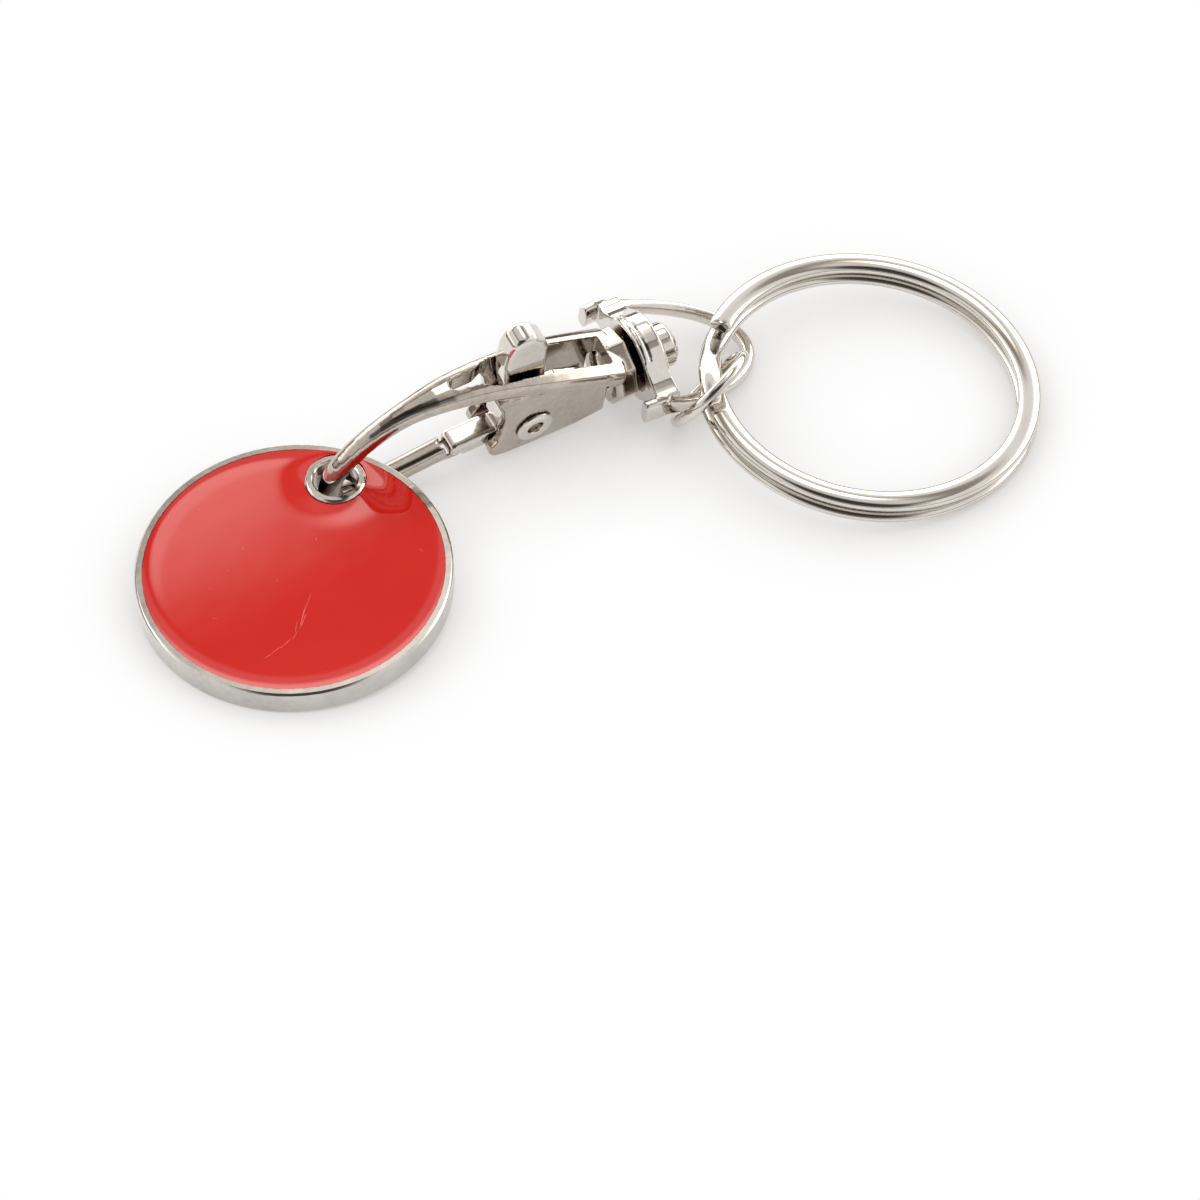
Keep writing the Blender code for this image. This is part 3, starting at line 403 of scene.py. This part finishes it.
@dataclass(frozen=True)
class ScratchedCoat:
    """The pale, matt floor of a scratch in the coat, with a little of the red showing through."""

    name: str = "scratched_coat"
    colour: str = "#E8837B"
    red: str = "#D9403A"
    roughness: float = 0.6
    tint_span: Span = (0.35, 0.65)
    grain_length: float = 0.2 * MM

    def make(self) -> bpy.types.Material:
        """Build the scratch's finish."""
        material, shader, place = start_material(self.name)
        tree = material.node_tree
        grain = add_noise(tree, place, self.grain_length)
        tint = add_ramp(tree, grain, tuple(zip(self.tint_span, (self.colour, self.red))))
        tree.links.new(tint, shader.inputs["Base Color"])
        shader.inputs["Roughness"].default_value = self.roughness
        return material


class Make(Enum):
    """How a metal piece was made, which decides how its edges are finished."""

    CAST = "cast"
    HEADED = "headed"
    STRUCK = "struck"
    WIRE = "wire"


@dataclass
class MetalWork:
    """Turns a CAD node into its finished shape: soft edges on castings, round sections on wire."""

    frame: dict[str, Any]
    cast_voxel: float = 0.08 * MM
    cast_rounds: int = 6
    small_voxel: float = 0.055 * MM
    small_rounds: int = 22
    smooth_share: float = 0.5
    wire_levels: int = 2
    quad_angle: float = math.radians(40.0)
    flat_angle: float = math.radians(0.6)
    edge_round: float = 0.05 * MM
    edge_segments: int = 3
    edge_angle: float = math.radians(28.0)
    shade_angle: float = math.radians(30.0)
    face_weight: int = 50
    merge: float = 0.0008 * MM

    def copy(self, node: str, name: str) -> bpy.types.Object:
        """Copy a node's mesh into a new piece and join its loose triangles.

        Args:
            node: The CAD node that is copied.
            name: The new piece's name.

        Returns:
            The new piece, with no material.
        """
        mesh = self.frame["nodes"][node].data.copy()
        mesh.materials.clear()
        piece = bpy.data.objects.new(name, mesh)
        bpy.context.scene.collection.objects.link(piece)
        edit_all(piece, lambda: bpy.ops.mesh.remove_doubles(threshold=self.merge))
        bpy.ops.mesh.customdata_custom_splitnormals_clear()
        return piece

    def soften(self, piece: bpy.types.Object, voxel: float, rounds: int) -> None:
        """Round a casting's edges: rebuild its skin from small voxels, then smooth it.

        Args:
            piece: The casting.
            voxel: The size of the voxels.
            rounds: How often the skin is smoothed.
        """
        apply_modifier(piece, "REMESH", mode="VOXEL", voxel_size=voxel, use_smooth_shade=True)
        apply_modifier(piece, "SMOOTH", factor=self.smooth_share, iterations=rounds)
        select_only(piece)
        bpy.ops.object.shade_smooth()

    def round_wire(self, piece: bpy.types.Object) -> None:
        """Turn a faceted wire's triangles into quads and subdivide them into a round section."""
        edit_all(piece, lambda: bpy.ops.mesh.tris_convert_to_quads(face_threshold=self.quad_angle,
                                                                   shape_threshold=math.pi))
        apply_modifier(piece, "SUBSURF", levels=self.wire_levels, render_levels=self.wire_levels)
        select_only(piece)
        bpy.ops.object.shade_smooth()

    def break_edges(self, piece: bpy.types.Object) -> None:
        """Give a struck piece small rounds along its edges and leave its faces flat."""
        edit_all(piece, lambda: bpy.ops.mesh.dissolve_limited(angle_limit=self.flat_angle))
        apply_modifier(piece, "BEVEL", width=self.edge_round, segments=self.edge_segments,
                       limit_method="ANGLE", angle_limit=self.edge_angle, use_clamp_overlap=True)
        select_only(piece)
        bpy.ops.object.shade_smooth_by_angle(angle=self.shade_angle)
        apply_modifier(piece, "WEIGHTED_NORMAL", keep_sharp=True, weight=self.face_weight)

    def shape(self, node: str, name: str, make: Make, material: bpy.types.Material,
              slot: str = "nickel") -> bpy.types.Object:
        """Shape a node's copy by the way it was made, dress it and let it stand for the node.

        Args:
            node: The CAD node that the piece stands for.
            name: The piece's name.
            make: How the real piece was made.
            material: The finish.
            slot: Not used.

        Returns:
            The finished piece, on no body yet.
        """
        piece = self.copy(node, name)
        if make is Make.CAST:
            self.soften(piece, self.cast_voxel, self.cast_rounds)
        elif make is Make.HEADED:
            self.soften(piece, self.small_voxel, self.small_rounds)
        elif make is Make.WIRE:
            self.round_wire(piece)
        else:
            self.break_edges(piece)
        dress(piece, material)
        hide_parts(node)
        log.info("%s: %s, %d faces", name, make.value, len(piece.data.polygons))
        return piece

    def finish(self, node: str, name: str, make: Make, material: bpy.types.Material, body: str,
               slot: str = "nickel") -> None:
        """Shape a node's copy and let it ride on a body.

        Args:
            node: The CAD node that the piece stands for.
            name: The piece's name.
            make: How the real piece was made.
            material: The finish.
            body: The moving body that the piece rides on.
            slot: Passed on to shape, which does not use it.
        """
        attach(self.shape(node, name, make, material, slot), body)


@dataclass(frozen=True)
class Scratch:
    """One hairline scratch, in millimetres and degrees: its middle on the face, turn, length and width."""

    x: float
    y: float
    turn: float
    length: float
    width: float = 0.045
    bend: float = 0.0


FACE_SCRATCHES = (
    Scratch(-2.3, -1.95, 5.0, 1.8, 0.04), Scratch(-3.6, -2.05, 9.0, 1.9, 0.07),
    Scratch(-4.1, -2.25, 2.0, 1.6, 0.06), Scratch(-4.7, -1.95, 13.0, 1.1, 0.06),
    Scratch(-5.6, -2.15, -6.0, 0.9, 0.05), Scratch(-6.4, -1.8, -20.0, 1.3, 0.05),
    Scratch(-7.2, -1.4, -28.0, 1.1, 0.05, 0.05), Scratch(-7.9, -1.0, -36.0, 0.8, 0.04),
    Scratch(3.3, -0.5, 15.0, 0.4), Scratch(3.2, 8.6, 118.0, 0.5), Scratch(4.6, -8.2, 55.0, 0.5),
    Scratch(0.8, 4.3, 10.0, 0.25, 0.04), Scratch(-3.4, 5.2, 75.0, 0.3, 0.035),
    Scratch(-1.4, 4.6, 20.0, 0.2, 0.04), Scratch(-5.9, 3.9, 95.0, 0.5, 0.03),
)


@dataclass
class TrolleyCoin:
    """The enamelled coin: stamped body, coated red face and the face's hairline scratches."""

    work: MetalWork
    metal: bpy.types.Material
    face_radius: float = 11.04 * MM
    eyelet_radius: float = 2.28 * MM
    face_thickness: float = 0.54 * MM
    rim_rise: float = 0.16 * MM
    rim_width: float = 1.7 * MM
    eyelet_rise: float = 0.20 * MM
    eyelet_width: float = 2.6 * MM
    rise_power: int = 3
    dish: float = 0.22 * MM
    rings: int = 84
    spokes: int = 220
    hole_spokes: int = 128
    shade_angle: float = math.radians(40.0)
    scratch_steps: int = 8
    scratch_taper: float = 0.8
    scratch_lift: float = 0.002 * MM
    scratch_depth: float = 0.001 * MM

    def __post_init__(self) -> None:
        """Find the face's place: its middle, its upward axis and the way to the hole."""
        hole, up = find_joint(self.work.frame, "coin_swing")
        low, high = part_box("coin_clear_coat")
        middle = (low + high) / 2
        toward = hole - middle
        along = (toward - up * toward.dot(up)).normalized()
        coat = self.work.frame["nodes"]["coin_clear_coat"].data
        top = max((vertex.co - hole).dot(up) for vertex in coat.vertices)
        self.matrix = Matrix((along, up.cross(along), up)).transposed().to_4x4()
        self.matrix.translation = middle + up * (top - (middle - hole).dot(up))
        self.hole_x = (hole - self.matrix.translation).dot(along)

    def surface(self, x: float, y: float) -> float:
        """Work out the coat's height at a point of the face.

        Args:
            x: Distance from the middle toward the hole.
            y: Distance across.

        Returns:
            The height: zero at the rim, negative inside.
        """
        radius = math.hypot(x, y)
        rim = max(0.0, 1 - (self.face_radius - radius) / self.rim_width)
        eyelet = max(0.0, 1 - (math.hypot(x - self.hole_x, y) - self.eyelet_radius) / self.eyelet_width)
        bowl = self.dish * ((radius / self.face_radius) ** 2 - 1)
        rise = self.rim_rise * rim ** self.rise_power + self.eyelet_rise * eyelet ** self.rise_power
        return bowl - self.rim_rise + rise

    def build_face(self, material: bpy.types.Material) -> None:
        """Model the coated enamel face with the rise of its coat at the rim and at the eyelet."""
        bpy.ops.object.select_all(action="DESELECT")
        bpy.ops.mesh.primitive_circle_add(vertices=self.spokes, radius=self.face_radius, fill_type="NGON")
        face = bpy.context.object
        face.name = "coin_enamel_face"
        edit_all(face, self.cut_rings)
        apply_modifier(face, "SOLIDIFY", thickness=self.face_thickness, offset=-1.0)
        bpy.ops.mesh.primitive_cylinder_add(vertices=self.hole_spokes, radius=self.eyelet_radius,
                                            depth=4 * self.face_thickness, location=(self.hole_x, 0, 0))
        cutter = bpy.context.object
        apply_modifier(face, "BOOLEAN", operation="DIFFERENCE", solver="EXACT", object=cutter)
        bpy.data.objects.remove(cutter)
        for vertex in face.data.vertices:
            if vertex.co.z > -self.face_thickness / 2:
                vertex.co.z = self.surface(vertex.co.x, vertex.co.y)
        settle(face, self.matrix)
        bpy.ops.object.shade_smooth_by_angle(angle=self.shade_angle)
        dress(face, material)
        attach(face, "coin")
        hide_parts("coin_enamel", "coin_clear_coat")
        log.info("%s: %d faces", face.name, len(face.data.polygons))

    def cut_rings(self) -> None:
        """Cut the selected disc into rings, and its middle into a fan."""
        for _ in range(self.rings - 2):
            bpy.ops.mesh.inset(thickness=self.face_radius / self.rings, use_even_offset=False)
        bpy.ops.mesh.poke()

    def lay_scratch(self, mark: Scratch) -> bpy.types.Object:
        """Lay one tapered strip on the coat where a scratch is, and return it."""
        bpy.ops.object.select_all(action="DESELECT")
        bpy.ops.mesh.primitive_grid_add(x_subdivisions=self.scratch_steps, y_subdivisions=1, size=1.0)
        strip = bpy.context.object
        for vertex in strip.data.vertices:
            share = vertex.co.x * 2
            width = mark.width * MM * (1 - share * share * self.scratch_taper)
            x = mark.length * MM / 2 * share
            y = vertex.co.y * width + mark.bend * MM * (1 - share * share)
            turned = Matrix.Rotation(math.radians(mark.turn), 2) @ Vector((x, y))
            x, y = turned.x + mark.x * MM, turned.y + mark.y * MM
            vertex.co = Vector((x, y, self.surface(x, y) + self.scratch_lift))
        return strip

    def build_scratches(self, material: bpy.types.Material) -> None:
        """Lay all hairline scratches on the coat and join them into one piece."""
        strips = [self.lay_scratch(mark) for mark in FACE_SCRATCHES]
        bpy.ops.object.select_all(action="DESELECT")
        for strip in strips:
            strip.select_set(True)
        bpy.context.view_layer.objects.active = strips[0]
        bpy.ops.object.join()
        scratches = bpy.context.object
        scratches.name = "coin_coat_scratches"
        apply_modifier(scratches, "SOLIDIFY", thickness=self.scratch_depth, offset=-1.0)
        settle(scratches, self.matrix)
        dress(scratches, material)
        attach(scratches, "coin")

    def build(self) -> None:
        """Finish the coin's body, then its face and scratches."""
        self.work.finish("coin_body", "stamped_coin", Make.STRUCK, self.metal, "coin")
        self.build_face(CoatedEnamel().make())
        self.build_scratches(ScratchedCoat().make())


@dataclass
class TriggerHook:
    """The sprung trigger hook: cast body and lever, turned pin and rivet, wire spring."""

    work: MetalWork
    # The hook body's finish: a darker copy of the nickel, as painted shade
    casting: bpy.types.Material
    metal: bpy.types.Material
    wire: bpy.types.Material
    coil_from: float = 0.48 * MM
    coil_to: float = -0.63 * MM

    def build_spring(self) -> None:
        """Finish the spring's wire and write its place into its mesh; it rides on no body."""
        spring = self.work.shape("trigger_spring", "wound_spring", Make.WIRE, self.wire, "spring_steel")
        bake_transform(spring)

    def build(self) -> None:
        """Finish every piece of the hook."""
        self.work.finish("hook_body", "cast_hook", Make.CAST, self.casting, "hook")
        self.work.finish("trigger_lever", "cast_lever", Make.CAST, self.metal, "lever")
        self.work.finish("swivel_rivet", "headed_rivet", Make.HEADED, self.metal, "hook")
        self.work.finish("trigger_pin", "hollow_pin", Make.HEADED, self.metal, "hook")
        self.build_spring()


@dataclass
class SwivelEye:
    """The swivel's collar with its cast bail."""

    work: MetalWork
    metal: bpy.types.Material

    def build(self) -> None:
        """Finish the eye."""
        self.work.finish("swivel_eye", "cast_eye", Make.CAST, self.metal, "eye")


@dataclass
class KeyRings:
    """The jump ring and the two-turn split ring."""

    work: MetalWork
    wire: bpy.types.Material

    def build(self) -> None:
        """Finish both rings."""
        self.work.finish("jump_ring", "bent_jump_ring", Make.WIRE, self.wire, "link", "ring_steel")
        self.work.finish("split_ring", "coiled_split_ring", Make.WIRE, self.wire, "key_loop", "ring_steel")


@dataclass
class Studio:
    """White surround, soft lamps, dark bands for the metal's streaks, and the photograph's camera."""

    frame: dict[str, Any]
    # Camera: turn about the vertical, height over the horizon, and the collar's place in the picture
    swing: float = math.radians(29.47)
    elevation: float = math.radians(46.97)
    pixels_per_metre: float = 13.5 / MM
    focal_pixels: float = 9590.0
    image_pixels: float = 1200.0
    collar_pixel: tuple[float, float] = (639.0, 354.0)
    sensor: float = 36.0
    near_clip: float = 0.05
    far_clip: float = 20.0
    # Floor: its paint, what it glows for mirrors, and how far and how much it darkens round the keyring
    floor_size: float = 3.0
    floor_level: float = -0.02 * MM
    floor_paint: str = "#F2F2F2"
    floor_glow: float = 0.26
    shade_reach: float = 11.0 * MM
    shade_samples: int = 16
    shade_stops: Stops = ((0.0, "#A6A19D"), (0.55, "#E6E3E1"), (0.95, WHITE))
    # Surround for the metal: bands by height, from straight down at 0 to straight up at 1
    band_stops: Stops = ((0.47, "#F6F4F2"), (0.50, "#8A8078"), (0.53, "#4A3C31"), (0.56, "#D9D3CD"),
                         (0.62, WHITE), (0.875, WHITE), (0.90, "#A79E96"), (0.925, "#9C938B"),
                         (0.97, "#F2F0EE"))
    # Dark quarter round the camera, by the cosine of the angle to it
    quarter_span: Span = (0.75, 0.93)
    quarter_light: float = 0.08
    # Long low strip behind the keyring: its foot and its top as heights, its end as such a cosine
    strip_foot: Span = (0.10, 0.25)
    strip_top: Span = (0.68, 0.56)
    strip_end: Span = (0.45, 0.05)
    strip_light: float = 2.1
    # Soft box, set off from the direction that the coin mirrors into the camera
    box_over: float = 0.15
    box_aside: float = 0.10
    box_reach: float = math.radians(10.0)
    box_edge: float = math.radians(3.0)
    box_light: float = 2.9
    box_colour: str = "#FFF8F1"
    fill_light: float = 0.76

    def axes(self) -> tuple[Vector, Vector, Vector]:
        """Return the camera's right, up and backward directions."""
        right = Vector((math.cos(self.swing), -math.sin(self.swing), 0))
        back = Vector((-math.sin(self.swing) * math.cos(self.elevation),
                       -math.cos(self.swing) * math.cos(self.elevation), math.sin(self.elevation)))
        return right, back.cross(right), back

    def build_camera(self) -> None:
        """Set the camera so that the swivel's collar falls on its pixel of the photograph."""
        right, up, back = self.axes()
        collar, _ = find_joint(self.frame, "hook_swivel")
        middle = self.image_pixels / 2
        aside = (self.collar_pixel[0] - middle) / self.pixels_per_metre
        above = (middle - self.collar_pixel[1]) / self.pixels_per_metre
        data = bpy.data.cameras.new("photo_camera")
        data.sensor_width = self.sensor
        data.lens = self.focal_pixels * self.sensor / self.image_pixels
        data.clip_start = self.near_clip
        data.clip_end = self.far_clip
        camera = bpy.data.objects.new("photo_camera", data)
        bpy.context.scene.collection.objects.link(camera)
        matrix = Matrix((right, up, back)).transposed().to_4x4()
        matrix.translation = (collar - right * aside - up * above
                              + back * self.focal_pixels / self.pixels_per_metre)
        camera.matrix_world = matrix
        bpy.context.scene.camera = camera

    def build_floor(self) -> None:
        """Lay a clear white floor: it darkens softly round what lies on it and hides nothing below it."""
        bpy.ops.object.select_all(action="DESELECT")
        bpy.ops.mesh.primitive_plane_add(size=self.floor_size, location=(0, 0, self.floor_level))
        floor = bpy.context.object
        floor.name = "studio_floor"
        material = bpy.data.materials.new("white_sweep")
        material.use_nodes = True
        tree = material.node_tree
        tree.nodes.clear()
        path = add_node(tree, "ShaderNodeLightPath").outputs
        # What the metal mirrors: the painted floor with a glow, so that it stays white there
        paint = add_node(tree, "ShaderNodeBsdfDiffuse", {"Color": linear(self.floor_paint)}).outputs[0]
        glow = add_node(tree, "ShaderNodeEmission", {"Color": linear(WHITE), "Strength": self.floor_glow})
        both = add_node(tree, "ShaderNodeAddShader", {0: paint, 1: glow.outputs[0]}).outputs[0]
        mirrored = add_math(tree, "MAXIMUM", path["Is Transmission Ray"], path["Is Glossy Ray"])
        bounced = add_node(tree, "ShaderNodeMixShader", {0: mirrored, 1: paint, 2: both}).outputs[0]
        # What the camera sees: the white surround through the floor, shaded round the keyring
        near = add_node(tree, "ShaderNodeAmbientOcclusion", {"Distance": self.shade_reach},
                        samples=self.shade_samples)
        shade = add_ramp(tree, near.outputs["AO"], self.shade_stops)
        veil = add_node(tree, "ShaderNodeBsdfTransparent", {"Color": shade}).outputs[0]
        mixed = add_node(tree, "ShaderNodeMixShader",
                         {0: path["Is Camera Ray"], 1: bounced, 2: veil}).outputs[0]
        # Light reaches what swings below the floor, so the floor is clear on its underside
        clear = add_node(tree, "ShaderNodeBsdfTransparent").outputs[0]
        under = add_node(tree, "ShaderNodeNewGeometry").outputs["Backfacing"]
        sides = add_node(tree, "ShaderNodeMixShader", {0: under, 1: mixed, 2: clear}).outputs[0]
        add_node(tree, "ShaderNodeOutputMaterial", {"Surface": sides})
        dress(floor, material)

    def box_way(self) -> Vector:
        """Return the direction of the soft box, a little above and right of the coin's own reflection."""
        right, _, back = self.axes()
        _, normal = find_joint(self.frame, "coin_swing")
        mirror = (2 * normal.dot(back) * normal - back).normalized()
        over = (Vector((0, 0, 1)) - mirror * mirror.z).normalized()
        return (mirror + over * self.box_over + right * self.box_aside).normalized()

    def paint_surround(self, tree: bpy.types.NodeTree) -> bpy.types.NodeSocket:
        """Paint the studio that the metal mirrors.

        Args:
            tree: The world's node tree.

        Returns:
            The studio's colour by direction.
        """
        way = add_node(tree, "ShaderNodeTexCoord").outputs["Generated"]
        height = add_node(tree, "ShaderNodeSeparateXYZ", {0: way}).outputs["Z"]
        bands = add_ramp(tree, add_range(tree, height, (-1.0, 1.0)), self.band_stops, smooth=True)
        toward = add_node(tree, "ShaderNodeVectorMath", {0: way, 1: tuple(self.axes()[2])},
                          operation="DOT_PRODUCT").outputs["Value"]
        near = add_range(tree, toward, self.quarter_span, (1.0, self.quarter_light), smooth=True)
        dimmed = add_node(tree, "ShaderNodeVectorMath", {0: bands, "Scale": near},
                          operation="SCALE").outputs[0]
        foot = add_range(tree, height, self.strip_foot, smooth=True)
        top = add_range(tree, height, self.strip_top, smooth=True)
        behind = add_range(tree, toward, self.strip_end, smooth=True)
        strip = add_math(tree, "MULTIPLY", add_math(tree, "MULTIPLY", foot, top), behind)
        facing = add_node(tree, "ShaderNodeVectorMath", {0: way, 1: tuple(self.box_way())},
                          operation="DOT_PRODUCT").outputs["Value"]
        edge = (math.cos(self.box_reach + self.box_edge), math.cos(self.box_reach - self.box_edge))
        box = add_range(tree, facing, edge, (0.0, self.box_light), smooth=True)
        lit = add_math(tree, "MULTIPLY_ADD", strip, self.strip_light, box)
        glow = add_node(tree, "ShaderNodeVectorMath", {0: linear(self.box_colour)[:3], "Scale": lit},
                        operation="SCALE").outputs[0]
        return add_node(tree, "ShaderNodeVectorMath", {0: dimmed, 1: glow}, operation="ADD").outputs[0]

    def build_world(self) -> None:
        """Make the surround: white for the camera, a banded studio for the metal, a fill for the rest."""
        world = bpy.data.worlds.new("studio_world")
        bpy.context.scene.world = world
        world.use_nodes = True
        tree = world.node_tree
        tree.nodes.clear()
        path = add_node(tree, "ShaderNodeLightPath").outputs
        studio = add_node(tree, "ShaderNodeBackground", {"Color": self.paint_surround(tree), "Strength": 1.0})
        fill = add_node(tree, "ShaderNodeBackground", {"Color": linear(WHITE), "Strength": self.fill_light})
        white = add_node(tree, "ShaderNodeBackground", {"Color": linear(WHITE), "Strength": 1.0})
        lit = add_node(tree, "ShaderNodeMixShader", {0: path["Is Glossy Ray"], 1: fill.outputs[0],
                                                     2: studio.outputs[0]})
        seen = add_math(tree, "MAXIMUM", path["Is Camera Ray"], path["Is Transmission Ray"])
        mixed = add_node(tree, "ShaderNodeMixShader", {0: seen, 1: lit.outputs[0], 2: white.outputs[0]})
        add_node(tree, "ShaderNodeOutputWorld", {"Surface": mixed.outputs[0]})

    def hang_lamp(self, name: str, way: Vector, distance: float, size: float, power: float) -> None:
        """Hang a square soft lamp that faces the keyring.

        Args:
            name: The lamp's name.
            way: Direction from the keyring to the lamp.
            distance: How far off it hangs.
            size: Length of its side.
            power: Its power in watts.
        """
        data = bpy.data.lights.new(name, "AREA")
        data.shape = "SQUARE"
        data.size = size
        data.energy = power
        lamp = bpy.data.objects.new(name, data)
        bpy.context.scene.collection.objects.link(lamp)
        lamp.location = way.normalized() * distance
        lamp.rotation_euler = way.to_track_quat("Z", "Y").to_euler()
        lamp.visible_glossy = False

    def build(self) -> None:
        """Build the whole studio: a key lamp behind the keyring, and a fill lamp on the left."""
        self.build_camera()
        self.build_floor()
        self.build_world()
        self.hang_lamp("key_lamp", Vector((-0.02, 0.62, 0.80)), distance=0.60, size=0.34, power=0.75)
        self.hang_lamp("left_lamp", Vector((-0.90, 0.10, 0.60)), distance=0.70, size=0.30, power=0.35)
        bpy.context.scene.view_settings.view_transform = "Standard"


def main() -> None:
    """Dress the keyring and set the studio round it."""
    logging.basicConfig(level=logging.INFO, format="%(name)s %(message)s")
    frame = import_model()
    work = MetalWork(frame)
    nickel = BrightNickel("bright_nickel_plate").make()
    struck = BrightNickel("struck_nickel_plate", "#D0CCC7", "#BEB9B3", "#CFC8C0").make()
    # A darker copy of the same nickel for the hook's body: painted shade, darker than the plate on the lever
    # and eye
    casting = BrightNickel("cast_nickel_shaded_plate", "#C3BAB0", "#A3988D").make()
    wire = DrawnWire("plated_ring_wire", "#D9D4CD", "#CDC6BE", 0.08).make()
    spring = DrawnWire("spring_wire", "#A9A39B", "#8E877E", 0.22).make()
    steps: list[tuple[str, Callable[[], None]]] = [
        ("studio", Studio(frame).build),
        ("coin", TrolleyCoin(work, struck).build),
        ("hook", TriggerHook(work, casting, nickel, spring).build),
        ("eye", SwivelEye(work, nickel).build),
        ("rings", KeyRings(work, wire).build),
    ]
    for name, build in steps:
        build()
        log.info("%s done", name)


if __name__ == "__main__":
    main()
